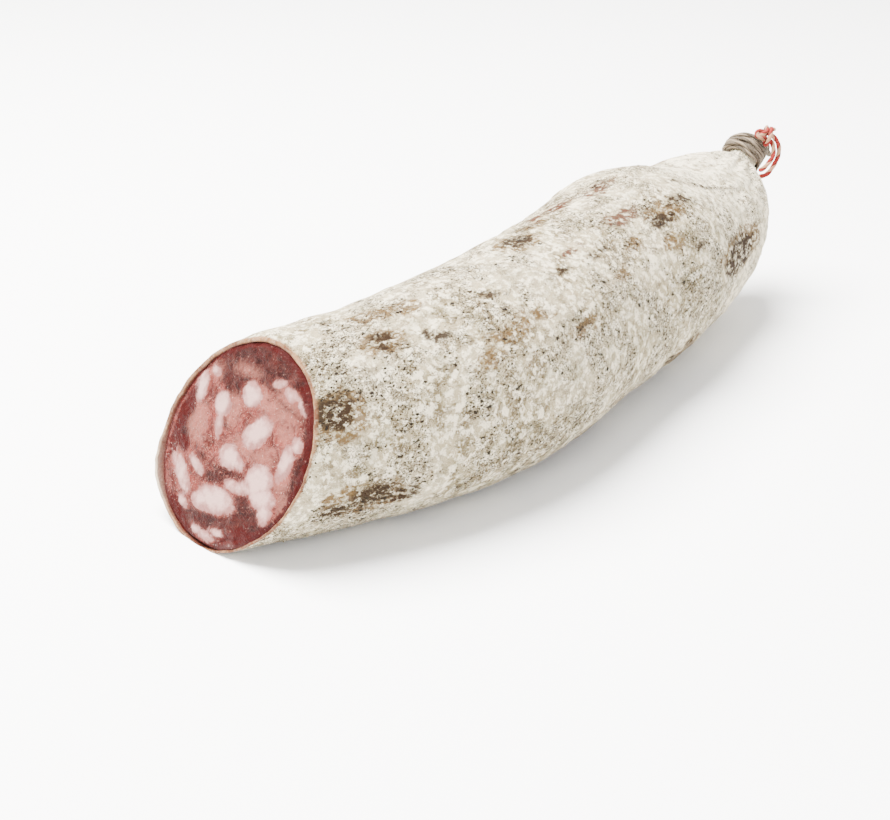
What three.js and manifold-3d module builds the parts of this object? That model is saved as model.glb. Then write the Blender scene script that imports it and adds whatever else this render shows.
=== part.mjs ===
// A dry-cured sausage, cut across at one end and tied with twine at the other.
//
// Millimetres, +Z up, +X from the cut end to the tied end. The sausage lies on its slightly flattened
// underside. The origin is on the resting plane, under the middle of the sausage's box.
//
// The body is worked out along a curved middle line. Each of its solids is first turned on a lathe as a
// straight shape, then bent along the middle line, and last trimmed by the knife cut and by the resting
// plane.

import * as THREE from 'three';
import { mergeVertices } from 'three/addons/utils/BufferGeometryUtils.js';
import Module from 'manifold-3d';

const wasm = await Module();
wasm.setup();

// ---------------------------------------------------------------- driving dimensions, mm

const BODY_LENGTH = 226; // middle of the cut face to the first turn of the binding, in a straight line
const BODY_THICKNESS = 58.8; // at its thickest
const SIDE_BOW = 20; // how far the middle line bows sideways
const END_LIFT = 23; // how far the tied end rises off the surface
const UNDERSIDE_PRESS = 0.6; // depth of the flat that the sausage rests on

const CASING_WALL = 1.2;
const FILLING_CLEARANCE = 0.3; // between the filling and the casing

const SHOULDER_LENGTH = 32; // the rounded end, from full girth to the neck
const SHOULDER_FULLNESS = 1.6; // 1 is a cone, 2 is a half ellipse
const NECK_RADIUS = 4.5;
const NECK_TIP_ROUNDING = 1.2;

const CUT_TILT = 22.4; // degrees, how far the cut face looks up
const CUT_TURN = 5.3; // degrees, how far the cut face looks to the side

const BINDING_TWINE = 1.3; // thickness
const BINDING_GAP = 0.1; // between turns that lie side by side
const BINDING_TURNS = 6;
const BINDING_CLEARANCE = 0.3; // between the twine and the neck
const BINDING_PILE_RISE = 1.8; // how much further out the turns lie where they are piled up
const BINDING_STRAY_END = 2.6; // the loose end past the last turn

const LOOP_TWINE = 1.4; // thickness
const LOOP_CLEARANCE = 0.35; // between the loop's twine and what it passes
const KNOT_TWINE = 1.3;
const KNOT_TURNS = 1.25;
const KNOT_GAP = 0.2; // between turns that lie side by side
const KNOT_CLEARANCE = 0.4; // between the knot and the legs of the loop
const KNOT_LEAN = 0.3; // how far the knot's axis leans down to the right, 0 is level
const KNOT_SLACK = 0.5; // more room in front of and behind the legs, which bend inside the knot

// Fineness of the meshes
const GIRTH_SIDES = 36;
const BODY_STEPS = 24;
const SHOULDER_STEPS = 10;
const TWINE_SIDES = 8;
const BINDING_STEPS_A_TURN = 15;
const LOOP_STEPS = 44;
const KNOT_STEPS = 30;
const KNOT_POINTS_A_TURN = 8;
const BINDING_LENGTH_SAMPLES = 600; // for spacing the binding's steps evenly
const HEADING_STEP = 0.002; // share of the length over which the body's heading is measured
const WELD_DISTANCE = 1e-4;

// ---------------------------------------------------------------- the middle line

// Along the body: share of the length, share of the side bow, share of the full girth
const STATIONS = [
  [-0.2, -0.95, 0.83],
  [-0.1, -0.5, 0.83],
  [0, 0, 0.835],
  [0.083, 0.43, 0.885],
  [0.167, 0.79, 0.925],
  [0.25, 0.98, 0.96],
  [0.333, 1, 0.98],
  [0.417, 0.88, 0.975],
  [0.5, 0.71, 0.97],
  [0.583, 0.55, 0.985],
  [0.667, 0.4, 1],
  [0.75, 0.28, 0.93],
  [0.833, 0.18, 0.832],
  [0.917, 0.08, 0.775],
  [1, 0, 0.73],
];
const LIFT_STARTS = 0.7; // share of the length where the underside leaves the surface

const between = (a, b, t) => a + (b - a) * t;

// One column of the stations at a share of the length, on a smooth Catmull-Rom curve
function stationValue(column, share) {
  const last = STATIONS.length - 1;
  let k = 0;
  while (k < last - 1 && share > STATIONS[k + 1][0]) k += 1;
  const t = (share - STATIONS[k][0]) / (STATIONS[k + 1][0] - STATIONS[k][0]);
  const p1 = STATIONS[k][column];
  const p2 = STATIONS[k + 1][column];
  const p0 = k > 0 ? STATIONS[k - 1][column] : 2 * p1 - p2;
  const p3 = k + 2 <= last ? STATIONS[k + 2][column] : 2 * p2 - p1;
  const slope1 = (p2 - p0) / 2;
  const slope2 = (p3 - p1) / 2;
  const fall = p1 - p2;
  const square = -3 * fall - 2 * slope1 - slope2;
  const cube = 2 * fall + slope1 + slope2;
  return p1 + slope1 * t + square * t ** 2 + cube * t ** 3;
}

const girthRadius = (share) => (BODY_THICKNESS / 2) * stationValue(2, share);

function middlePoint(share) {
  const rise = Math.max(0, (share - LIFT_STARTS) / (1 - LIFT_STARTS));
  return new THREE.Vector3(
    share * BODY_LENGTH,
    -SIDE_BOW * stationValue(1, share),
    girthRadius(share) - UNDERSIDE_PRESS + END_LIFT * rise * rise,
  );
}

// Where things stand along the neck
const bindingStart = LOOP_TWINE + 2 * LOOP_CLEARANCE + BINDING_TWINE / 2; // past the neck's start
const bindingPitch = BINDING_TWINE + BINDING_GAP;
const bindingSpan = bindingPitch * BINDING_TURNS;
const neckLength = bindingStart + bindingSpan; // the gathered skin ends level with the last turn
const neckStart = BODY_LENGTH - bindingStart;

// The frame of a cross-section: its middle, the way the body runs, one side and the upper side. The neck
// goes straight on.
function section(distance) {
  const share = Math.min(distance, neckStart) / BODY_LENGTH;
  const ahead = middlePoint(share).sub(middlePoint(share - HEADING_STEP)).normalize();
  const middle = middlePoint(share).addScaledVector(ahead, Math.max(0, distance - neckStart));
  const side = new THREE.Vector3(-ahead.y, ahead.x, 0).normalize();
  const upper = new THREE.Vector3().crossVectors(ahead, side);
  return { middle, ahead, side, upper };
}

// ---------------------------------------------------------------- tools

// A lathe solid stands with its axis on Y: radius across, distance along the body up Y. Each point goes to
// the cross-section at its distance.
function bendAlongBody(geometry) {
  const at = geometry.attributes.position;
  for (let i = 0; i < at.count; i += 1) {
    const { middle, side, upper } = section(at.getY(i));
    const place = middle.clone().addScaledVector(upper, at.getX(i)).addScaledVector(side, at.getZ(i));
    at.setXYZ(i, place.x, place.y, place.z);
  }
  return geometry;
}

function toSolid(geometry) {
  const bare = geometry.clone();
  bare.deleteAttribute('normal');
  bare.deleteAttribute('uv');
  const merged = mergeVertices(bare, WELD_DISTANCE);
  return new wasm.Manifold(new wasm.Mesh({
    numProp: 3,
    vertProperties: new Float32Array(merged.attributes.position.array),
    triVerts: new Uint32Array(merged.index.array),
  }));
}

function toGeometry(solid) {
  const mesh = solid.getMesh();
  const geometry = new THREE.BufferGeometry();
  geometry.setAttribute('position', new THREE.BufferAttribute(mesh.vertProperties, 3));
  geometry.setIndex(new THREE.BufferAttribute(mesh.triVerts, 1));
  geometry.computeVertexNormals();
  return geometry;
}

// A round section swept along a route
class Route extends THREE.Curve {
  constructor(pointAt) {
    super();
    this.pointAt = pointAt;
  }

  getPoint(t) {
    return this.pointAt(t);
  }
}

function twine(route, thickness, steps) {
  const round = new THREE.Shape();
  for (let k = 0; k < TWINE_SIDES; k += 1) {
    const turn = (2 * Math.PI * k) / TWINE_SIDES;
    const x = (thickness / 2) * Math.cos(turn);
    const y = (thickness / 2) * Math.sin(turn);
    if (k === 0) round.moveTo(x, y);
    else round.lineTo(x, y);
  }
  round.closePath();
  return new THREE.ExtrudeGeometry(round, { steps, bevelEnabled: false, extrudePath: route });
}

// ---------------------------------------------------------------- the body's outline

const shoulderStart = neckStart - SHOULDER_LENGTH;

// Radius of the outside over the shoulder, which ends at the neck's radius
function shoulderRadius(distance) {
  const gone = Math.max(0, (distance - shoulderStart) / SHOULDER_LENGTH);
  const full = girthRadius(Math.min(distance / BODY_LENGTH, 1));
  const shape = (1 - gone ** SHOULDER_FULLNESS) ** (1 / SHOULDER_FULLNESS);
  return between(NECK_RADIUS, full, shape);
}

// Distances along the body for the lathe profiles: even along the body, closer together over the shoulder
function bodyDistances(from, to) {
  const list = [];
  for (let k = 0; k < BODY_STEPS; k += 1) list.push(between(from, shoulderStart, k / BODY_STEPS));
  for (let k = 0; k <= SHOULDER_STEPS; k += 1) {
    const turn = (Math.PI / 2) * (k / SHOULDER_STEPS);
    list.push(between(shoulderStart, to, Math.sin(turn)));
  }
  return list;
}

const PROFILE_START = -0.19; // share of the length, well before the knife cut
const profileStart = PROFILE_START * BODY_LENGTH;

// The inside of the casing, drawn in from the outside by a depth, closing on the axis before the neck
function insideProfile(depth) {
  const end = neckStart - 2 * CASING_WALL;
  const points = [];
  for (const distance of bodyDistances(profileStart, end)) {
    const gone = Math.max(0, (distance - shoulderStart) / (end - shoulderStart));
    const shape = (1 - gone ** SHOULDER_FULLNESS) ** (1 / SHOULDER_FULLNESS);
    const full = girthRadius(distance / BODY_LENGTH) - depth;
    points.push(new THREE.Vector2(full * shape, distance - (depth - CASING_WALL) * gone));
  }
  points[points.length - 1].x = 0;
  return points;
}

function casingProfile() {
  const inside = insideProfile(CASING_WALL).reverse();
  const outside = bodyDistances(profileStart, neckStart).map((d) => new THREE.Vector2(shoulderRadius(d), d));
  const tip = neckStart + neckLength;
  return [
    ...inside,
    ...outside,
    new THREE.Vector2(NECK_RADIUS, tip - NECK_TIP_ROUNDING),
    new THREE.Vector2(NECK_RADIUS - NECK_TIP_ROUNDING, tip),
    new THREE.Vector2(0, tip),
  ];
}

function fillingProfile() {
  const inside = insideProfile(CASING_WALL + FILLING_CLEARANCE);
  return [new THREE.Vector2(0, profileStart), ...inside];
}

// ---------------------------------------------------------------- trimming

// A block whose top face lies on a plane, and which fills the space behind it
function blockBehind(point, facing) {
  const size = 3 * BODY_LENGTH;
  const block = new THREE.BoxGeometry(size, size, size);
  block.translate(0, 0, size / 2);
  const turn = new THREE.Quaternion().setFromUnitVectors(new THREE.Vector3(0, 0, 1), facing);
  block.applyQuaternion(turn);
  block.translate(point.x, point.y, point.z);
  return toSolid(block);
}

const tilt = THREE.MathUtils.degToRad(CUT_TILT);
const turnSide = THREE.MathUtils.degToRad(CUT_TURN);
const cutFacing = new THREE.Vector3(
  -Math.cos(tilt) * Math.cos(turnSide),
  Math.cos(tilt) * Math.sin(turnSide),
  Math.sin(tilt),
);
const cutOff = blockBehind(middlePoint(0), cutFacing);
const belowSurface = blockBehind(new THREE.Vector3(0, 0, 0), new THREE.Vector3(0, 0, -1));

function trimmedBody(profile) {
  const straight = new THREE.LatheGeometry(profile, GIRTH_SIDES);
  return toGeometry(toSolid(bendAlongBody(straight)).subtract(cutOff).subtract(belowSurface));
}

// ---------------------------------------------------------------- the neck and its binding

const neck = section(neckStart);
const degrees = (angle) => THREE.MathUtils.degToRad(angle);

// A point beside the neck: angle round it in degrees, radius from its axis, distance past its start
function neckPoint(angle, radius, past) {
  return neck.middle.clone()
    .addScaledVector(neck.side, radius * Math.cos(degrees(angle)))
    .addScaledVector(neck.upper, radius * Math.sin(degrees(angle)))
    .addScaledVector(neck.ahead, past);
}

// Angles round the neck: 0 is its left side, 90 its upper side and 180 its right side
const SPREAD_ANGLE = 205; // where the binding's turns lie side by side
const LOW_ANGLE = 85; // where the binding sits down on the shoulder
const LOW_HALF_WIDTH = 40;
const LOW_RAMP = 60;
const STRAY_OUTWARD = { past: 0.4, radius: 0.7 }; // how the stray end leaves, for each mm along it
const bindingRadius = NECK_RADIUS + BINDING_CLEARANCE + BINDING_TWINE / 2;
const bindingDrop = bindingStart - BINDING_TWINE / 2 - BINDING_CLEARANCE;

// The binding's turns lie side by side where they spread, and in pairs, one on the other, on the opposite
// side. They step up over the loop's twine, which lies under them on the far side. The twine's end sticks
// out.
function bindingPoint(t) {
  const turnLength = 2 * Math.PI * bindingRadius;
  const turns = t * (BINDING_TURNS + BINDING_STRAY_END / turnLength);
  const count = Math.min(Math.floor(turns), BINDING_TURNS - 1);
  const part = turns - count;
  const stray = Math.max(0, part - 1) * turnLength;
  const pile = (Math.PI / 2) * ((1 - Math.cos(2 * Math.PI * Math.min(part, 1))) / 2);
  const rowStart = Math.floor(count / 2) * bindingPitch * (1 + Math.cos(pile));
  const outer = count % 2;
  const angle = SPREAD_ANGLE + 360 * part;
  const fromLow = Math.abs(((angle - LOW_ANGLE + 540) % 360) - 180);
  const step = THREE.MathUtils.smoothstep(fromLow, LOW_HALF_WIDTH, LOW_HALF_WIDTH + LOW_RAMP);
  const past = bindingStart - bindingDrop * (1 - step)
    + rowStart + outer * bindingPitch * Math.cos(pile) + bindingPitch * Math.min(part, 1)
    + BINDING_PILE_RISE * Math.sin(pile) ** 2 + stray * STRAY_OUTWARD.past;
  const radius = bindingRadius + outer * bindingPitch * Math.sin(pile) + stray * STRAY_OUTWARD.radius;
  return neckPoint(angle, radius, past);
}

// ---------------------------------------------------------------- the loop and its knot

// Points beside the neck, for someone who stands at the sausage's right side and looks a little down along
// it: how far to the right of a line just clear of the binding, and how far up and away from the middle of
// the neck's start
const toRight = new THREE.Vector3(0.655, -0.756, 0);
const toUp = new THREE.Vector3(0.321, 0.278, 0.906);
const toAway = new THREE.Vector3(0.684, 0.592, -0.425);

const clearOfBinding = bindingRadius + bindingPitch + BINDING_TWINE / 2 + LOOP_TWINE;

function besideNeck([right, up, away]) {
  return neck.middle.clone()
    .addScaledVector(toRight, clearOfBinding + right)
    .addScaledVector(toUp, up)
    .addScaledVector(toAway, away);
}

// The loop's twine starts under the binding, goes round behind the neck, comes out on the right, curls up,
// turns back through the knot and comes down again beside itself to the neck.
const loopRadius = NECK_RADIUS + LOOP_CLEARANCE + LOOP_TWINE / 2;
const loopPast = LOOP_CLEARANCE + LOOP_TWINE / 2;
const ROUND_THE_NECK = [-20, -50, -80, -110];
const LOOP_POINTS = [
  [-1.7, -3.5, -1.5],
  [0.4, -2.7, -1.7],
  [2.7, 0.4, -1.9],
  [4.0, 3.6, -2.4],
  [3.8, 6.6, -3.1],
  [2.2, 8.9, -3.9],
  [0.1, 10.1, -4.4],
  [-1.8, 10.7, -4.8],
  [-3.3, 10.3, -5.2],
  [-3.5, 9.1, -5.5],
  [-2.2, 8.4, -5.6],
  [-0.3, 7.9, -5.5],
  [1.1, 7.0, -5.5],
  [1.8, 5.0, -5.4],
  [1.6, 2.4, -5.1],
  [0.2, 0.3, -4.7],
  [-1.3, -1.3, -4.1],
  [-2.6, -1.9, -3.3],
];
const loopRoute = new THREE.CatmullRomCurve3([
  ...ROUND_THE_NECK.map((angle) => neckPoint(angle, loopRadius, loopPast)),
  ...LOOP_POINTS.map(besideNeck),
]);

// The knot goes round both legs of the loop, where they pass side by side. It starts in front of them on
// the left and climbs over them, and its end leaves on the right.
const UPPER_LEG = [0.1, 10.1, -4.4];
const LOWER_LEG = [-0.3, 7.9, -5.5];
const KNOT_START = [-3.0, 8.9, -7.6];
const KNOT_FINISH = [3.0, 11.5, -2.8];

function knotRoute() {
  const upperLeg = besideNeck(UPPER_LEG);
  const lowerLeg = besideNeck(LOWER_LEG);
  const middle = upperLeg.clone().add(lowerLeg).multiplyScalar(0.5);
  const across = upperLeg.clone().sub(lowerLeg).normalize();
  const along = toRight.clone().addScaledVector(toUp, -KNOT_LEAN);
  along.addScaledVector(across, -along.dot(across)).normalize();
  const front = new THREE.Vector3().crossVectors(along, across);
  const legHalf = LOOP_TWINE / 2 + KNOT_CLEARANCE + KNOT_TWINE / 2;
  const halfWide = upperLeg.distanceTo(lowerLeg) / 2 + legHalf;
  const halfDeep = legHalf + KNOT_SLACK;
  const pitch = KNOT_TWINE + KNOT_GAP;
  const points = [besideNeck(KNOT_START)];
  for (let k = 0; k <= KNOT_POINTS_A_TURN * KNOT_TURNS; k += 1) {
    const turns = k / KNOT_POINTS_A_TURN;
    const angle = Math.PI / 2 + 2 * Math.PI * turns;
    points.push(middle.clone()
      .addScaledVector(across, -halfWide * Math.cos(angle))
      .addScaledVector(front, halfDeep * Math.sin(angle))
      .addScaledVector(along, pitch * (turns - KNOT_TURNS / 2)));
  }
  points.push(besideNeck(KNOT_FINISH));
  return new THREE.CatmullRomCurve3(points);
}

// ---------------------------------------------------------------- materials and assembly

function finish(colour, roughness) {
  return new THREE.MeshStandardMaterial({ color: colour, roughness, metalness: 0 });
}

function named(name, geometry, material) {
  const mesh = new THREE.Mesh(geometry, material);
  mesh.name = name;
  return mesh;
}

const casing = named('casing', trimmedBody(casingProfile()), finish(0xd8d0c0, 0.85));
const filling = named('filling', trimmedBody(fillingProfile()), finish(0xa3504c, 0.45));
const bindingSteps = BINDING_TURNS * BINDING_STEPS_A_TURN;
const bindingRoute = new Route(bindingPoint);
bindingRoute.arcLengthDivisions = BINDING_LENGTH_SAMPLES;
const bindingTwine = twine(bindingRoute, BINDING_TWINE, bindingSteps);
const neckBinding = named('neck_binding', bindingTwine, finish(0xa89e92, 0.8));
const hangingLoop = named('hanging_loop', twine(loopRoute, LOOP_TWINE, LOOP_STEPS), finish(0xc9615a, 0.7));
const loopKnot = named('loop_knot', twine(knotRoute(), KNOT_TWINE, KNOT_STEPS), finish(0xc9615a, 0.7));

const sausage = new THREE.Group();
sausage.add(casing, filling, neckBinding);
const box = new THREE.Box3().setFromObject(sausage);
sausage.add(hangingLoop, loopKnot);
sausage.position.set(-(box.min.x + box.max.x) / 2, -(box.min.y + box.max.y) / 2, -box.min.z);

export default sausage;
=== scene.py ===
import math

import bpy
import numpy as np
from mathutils import Matrix, Vector


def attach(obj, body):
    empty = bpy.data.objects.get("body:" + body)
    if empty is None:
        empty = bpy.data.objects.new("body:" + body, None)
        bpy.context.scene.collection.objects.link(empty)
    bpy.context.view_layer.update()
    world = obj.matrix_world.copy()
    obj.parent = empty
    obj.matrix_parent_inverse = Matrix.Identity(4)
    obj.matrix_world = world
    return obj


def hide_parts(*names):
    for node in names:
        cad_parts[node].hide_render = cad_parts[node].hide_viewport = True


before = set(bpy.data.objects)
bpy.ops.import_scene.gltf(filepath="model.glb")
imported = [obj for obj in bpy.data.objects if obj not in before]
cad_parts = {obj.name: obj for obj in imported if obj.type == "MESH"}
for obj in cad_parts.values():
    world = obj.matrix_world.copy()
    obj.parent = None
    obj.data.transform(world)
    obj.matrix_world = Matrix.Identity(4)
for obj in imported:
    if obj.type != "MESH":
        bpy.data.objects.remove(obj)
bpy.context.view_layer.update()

bl_info = {
    "name": "Cured Sausage",
    "version": (1, 0, 0),
    "blender": (4, 5, 0),
    "location": "View3D > Sidebar > Sausage",
    "description": "Builds the looks of a cut, tied, dry-cured sausage round its packed CAD parts",
    "category": "Object",
}

MM = 0.001

# ---------------- the CAD's sizes, mm and degrees

BODY_LENGTH = 226.0
BODY_THICKNESS = 58.8
SIDE_BOW = 20.0
END_LIFT = 23.0
LIFT_STARTS = 0.7
UNDERSIDE_PRESS = 0.6
SHOULDER_LENGTH = 32.0
SHOULDER_FULLNESS = 1.6
NECK_RADIUS = 4.5
CUT_TILT = 22.4
CUT_TURN = 5.3
BINDING_TWINE = 1.3
BINDING_PITCH = 1.4
BINDING_TURNS = 6
BINDING_CLEARANCE = 0.3
BINDING_PILE_RISE = 1.8
BINDING_STRAY_END = 2.6
LOOP_TWINE = 1.4
LOOP_CLEARANCE = 0.35
KNOT_TWINE = 1.3
KNOT_TURNS = 1.25
KNOT_GAP = 0.2
KNOT_CLEARANCE = 0.4
KNOT_LEAN = 0.3
KNOT_SLACK = 0.5
KNOT_POINTS_A_TURN = 8
HEADING_STEP = 0.002
# From the CAD's working frame, with its origin under the middle of the cut, to the model's own origin
ORIGIN_SHIFT = np.array([-113.744, 11.414, 0.0])

# Along the body: share of the length, share of the side bow, share of the full girth
STATIONS = np.array([
    [-0.2, -0.95, 0.83], [-0.1, -0.5, 0.83], [0, 0, 0.835], [0.083, 0.43, 0.885], [0.167, 0.79, 0.925],
    [0.25, 0.98, 0.96], [0.333, 1, 0.98], [0.417, 0.88, 0.975], [0.5, 0.71, 0.97], [0.583, 0.55, 0.985],
    [0.667, 0.4, 1], [0.75, 0.28, 0.93], [0.833, 0.18, 0.832], [0.917, 0.08, 0.775], [1, 0, 0.73],
])

BINDING_START = LOOP_TWINE + 2 * LOOP_CLEARANCE + BINDING_TWINE / 2
NECK_LENGTH = BINDING_START + BINDING_PITCH * BINDING_TURNS
NECK_START = BODY_LENGTH - BINDING_START
SHOULDER_START = NECK_START - SHOULDER_LENGTH


def unit(vectors):
    return vectors / np.linalg.norm(vectors, axis=-1, keepdims=True)


def station_value(column, share):
    """One column of the stations at shares of the length, on the CAD's smooth curve."""
    share = np.asarray(share, float)
    last = len(STATIONS) - 1
    k = np.clip(np.searchsorted(STATIONS[:, 0], share, side="right") - 1, 0, last - 1)
    t = (share - STATIONS[k, 0]) / (STATIONS[k + 1, 0] - STATIONS[k, 0])
    values = STATIONS[:, column]
    p1, p2 = values[k], values[k + 1]
    p0 = np.where(k > 0, values[np.maximum(k - 1, 0)], 2 * p1 - p2)
    p3 = np.where(k + 2 <= last, values[np.minimum(k + 2, last)], 2 * p2 - p1)
    slope1, slope2, fall = (p2 - p0) / 2, (p3 - p1) / 2, p1 - p2
    return p1 + slope1 * t + (-3 * fall - 2 * slope1 - slope2) * t**2 + (2 * fall + slope1 + slope2) * t**3


def girth_radius(share):
    return BODY_THICKNESS / 2 * station_value(2, share)


def middle_point(share):
    share = np.asarray(share, float)
    rise = np.maximum(0, (share - LIFT_STARTS) / (1 - LIFT_STARTS))
    height = girth_radius(share) - UNDERSIDE_PRESS + END_LIFT * rise**2
    return np.stack([share * BODY_LENGTH, -SIDE_BOW * station_value(1, share), height], -1)


def section(distance):
    """Middle, heading, side and upper direction of the body's cross-sections."""
    distance = np.asarray(distance, float)
    share = np.minimum(distance, NECK_START) / BODY_LENGTH
    ahead = unit(middle_point(share) - middle_point(share - HEADING_STEP))
    middle = middle_point(share) + ahead * np.maximum(0, distance - NECK_START)[..., None]
    side = unit(np.stack([-ahead[..., 1], ahead[..., 0], 0 * ahead[..., 0]], -1))
    return middle, ahead, side, np.cross(ahead, side)


def outer_radius(distance):
    gone = np.clip((distance - SHOULDER_START) / SHOULDER_LENGTH, 0, 1)
    shape = (1 - gone**SHOULDER_FULLNESS) ** (1 / SHOULDER_FULLNESS)
    full = girth_radius(np.minimum(distance / BODY_LENGTH, 1))
    return NECK_RADIUS + (full - NECK_RADIUS) * shape


def body_point(distance, angle, radius):
    """A point at an angle (radians, 0 at the left side, a quarter turn at the top) and a radius."""
    middle, _, side, upper = section(distance)
    around = side * np.cos(angle)[..., None] + upper * np.sin(angle)[..., None]
    return middle + around * np.asarray(radius)[..., None]


CUT_FACING = np.array([
    -math.cos(math.radians(CUT_TILT)) * math.cos(math.radians(CUT_TURN)),
    math.cos(math.radians(CUT_TILT)) * math.sin(math.radians(CUT_TURN)),
    math.sin(math.radians(CUT_TILT)),
])
CUT_MIDDLE = middle_point(0.0)
CUT_SEARCH = (-35.0, 45.0)
CUT_SEARCH_STEPS = 40
CUT_RIGHT = unit(np.cross([0.0, 0.0, 1.0], CUT_FACING))
CUT_UP = np.cross(CUT_FACING, CUT_RIGHT)


def from_cut(points):
    """How far points lie behind the cut's plane, mm."""
    return -(points - CUT_MIDDLE) @ CUT_FACING


def cut_distance(angle, radius_at):
    """The distance along the body at which a surface meets the cut's plane, for each angle."""
    low, high = np.full_like(angle, CUT_SEARCH[0]), np.full_like(angle, CUT_SEARCH[1])
    for _ in range(CUT_SEARCH_STEPS):
        half = (low + high) / 2
        behind = from_cut(body_point(half, angle, radius_at(half))) > 0
        high, low = np.where(behind, half, high), np.where(behind, low, half)
    return (low + high) / 2


# ---------------- numbers and noise


def smooth(value, low, high):
    t = np.clip((value - low) / (high - low), 0, 1)
    return t * t * (3 - 2 * t)


def hill(value, middle, width):
    return np.exp(-(((value - middle) / width) ** 2))


def turn_gap(angle, degrees):
    """Signed difference from an angle in radians to one in degrees, in degrees, by the short way."""
    return (np.degrees(angle) - degrees + 180) % 360 - 180


HASH_FACTORS = (374761393, 668265263, 1103515245)
HASH_SEED, HASH_LAST, HASH_BITS = 974711, 1274126177, 0xFFFFFFFF


def lattice_noise(points, size, seed):
    """Smooth noise from -1 to 1 at points in mm, with features about size wide."""
    scaled = np.asarray(points, float) / size
    cell = np.floor(scaled).astype(np.int64)
    part = scaled - cell
    ease = part * part * (3 - 2 * part)
    total = np.zeros(scaled.shape[:-1])
    for corner in np.ndindex(2, 2, 2):
        at = cell + np.array(corner)
        mixed = sum(at[..., k] * factor for k, factor in enumerate(HASH_FACTORS)) + seed * HASH_SEED
        mixed = (mixed ^ (mixed >> 13)) & HASH_BITS
        mixed = (mixed * HASH_LAST) & HASH_BITS
        value = ((mixed ^ (mixed >> 15)) & 0xFFFF) / 32767.5 - 1
        total += value * np.prod(np.where(np.array(corner) == 1, ease, 1 - ease), axis=-1)
    return total


FAR_OUTSIDE = -8.0


def patch_field(x, y, patches):
    """Depth in mm inside the nearest of some ovals: x, y, half length, half width, turn in degrees."""
    field = np.full(np.shape(x), FAR_OUTSIDE)
    for px, py, long, wide, turn in patches:
        c, s = math.cos(math.radians(turn)), math.sin(math.radians(turn))
        u, v = (x - px) * c + (y - py) * s, -(x - px) * s + (y - py) * c
        depth = (1 - np.sqrt((u / long) ** 2 + (v / wide) ** 2)) * min(long, wide)
        field = np.maximum(field, depth)
    return field


# ---------------- meshes


def grid_faces(rings, around):
    """Quads between rings of points that each close on themselves."""
    r, a = np.meshgrid(np.arange(rings - 1), np.arange(around), indexing="ij")
    b = (a + 1) % around
    quads = np.stack([r * around + a, r * around + b, (r + 1) * around + b, (r + 1) * around + a], -1)
    return quads.reshape(-1, 4).tolist()


def closed_tube(rings, first_pole, last_pole):
    """A closed skin over rings (rings x around x 3), with a point at each end."""
    count, around, _ = rings.shape
    points = np.vstack([rings.reshape(-1, 3), first_pole[None], last_pole[None]])
    faces = grid_faces(count, around)
    first, last = count * around, count * around + 1
    for a in range(around):
        b = (a + 1) % around
        faces.append([first, b, a])
        faces.append([last, (count - 1) * around + a, (count - 1) * around + b])
    return points, faces


def lay_uv(mesh, uv):
    """Gives each corner its point's UV. A face across the seam takes the far side's values."""
    index = np.empty(len(mesh.loops), np.int32)
    mesh.loops.foreach_get("vertex_index", index)
    spots = uv[index]
    sides = np.empty(len(mesh.polygons), np.int32)
    mesh.polygons.foreach_get("loop_total", sides)
    face = np.repeat(np.arange(len(sides)), sides)
    top = np.full(len(sides), -np.inf)
    np.maximum.at(top, face, spots[:, 1])
    period = uv[:, 1].max() * (1 + 1e-9)
    spots[(top[face] - spots[:, 1]) > period / 2, 1] += period
    layer = mesh.uv_layers.new(name="UVMap")
    layer.data.foreach_set("uv", spots.astype(np.float32).ravel())


def linked(name, data):
    """An object with its data, in the scene."""
    made = bpy.data.objects.new(name, data)
    bpy.context.scene.collection.objects.link(made)
    return made


def face_outward(mesh):
    mesh.calc_loop_triangles()
    at = np.empty(len(mesh.vertices) * 3)
    mesh.vertices.foreach_get("co", at)
    corner = np.empty(len(mesh.loop_triangles) * 3, np.int32)
    mesh.loop_triangles.foreach_get("vertices", corner)
    a, b, c = at.reshape(-1, 3)[corner].reshape(-1, 3, 3).transpose(1, 0, 2)
    if np.einsum("ij,ij->i", a, np.cross(b, c)).sum() < 0:
        mesh.flip_normals()


def piece_from(name, points, faces, material, attributes, uv=None):
    """A smooth-shaded mesh object with its place in its mesh, facing outward, in the model's own frame."""
    mesh = bpy.data.meshes.new(name)
    mesh.from_pydata(((points + ORIGIN_SHIFT) * MM).tolist(), [], faces)
    for label, values in attributes.items():
        made = mesh.attributes.new(label, "FLOAT", "POINT")
        made.data.foreach_set("value", np.asarray(values, np.float32))
    if uv is not None:
        lay_uv(mesh, uv)
    mesh.validate()
    mesh.shade_smooth()
    mesh.materials.append(material)
    face_outward(mesh)
    return linked(name, mesh)


def even_route(points, step):
    """Points a step apart along a route, the tangents there and the lengths so far."""
    length = np.r_[0, np.cumsum(np.linalg.norm(np.diff(points, axis=0), axis=1))]
    count = max(2, int(round(length[-1] / step)) + 1)
    want = np.linspace(0, length[-1], count)
    even = np.stack([np.interp(want, length, points[:, k]) for k in range(3)], -1)
    return even, unit(np.gradient(even, axis=0)), want


def round_the_circle(count):
    return np.linspace(0, 2 * np.pi, count, endpoint=False)


TWINE_STEP = 0.22
TWINE_AROUND = 24
GROOVE_RADIUS = 0.88
PLY_BULGE = 0.22
END_ROUNDING = 0.45
END_POLE = 0.05


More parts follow.
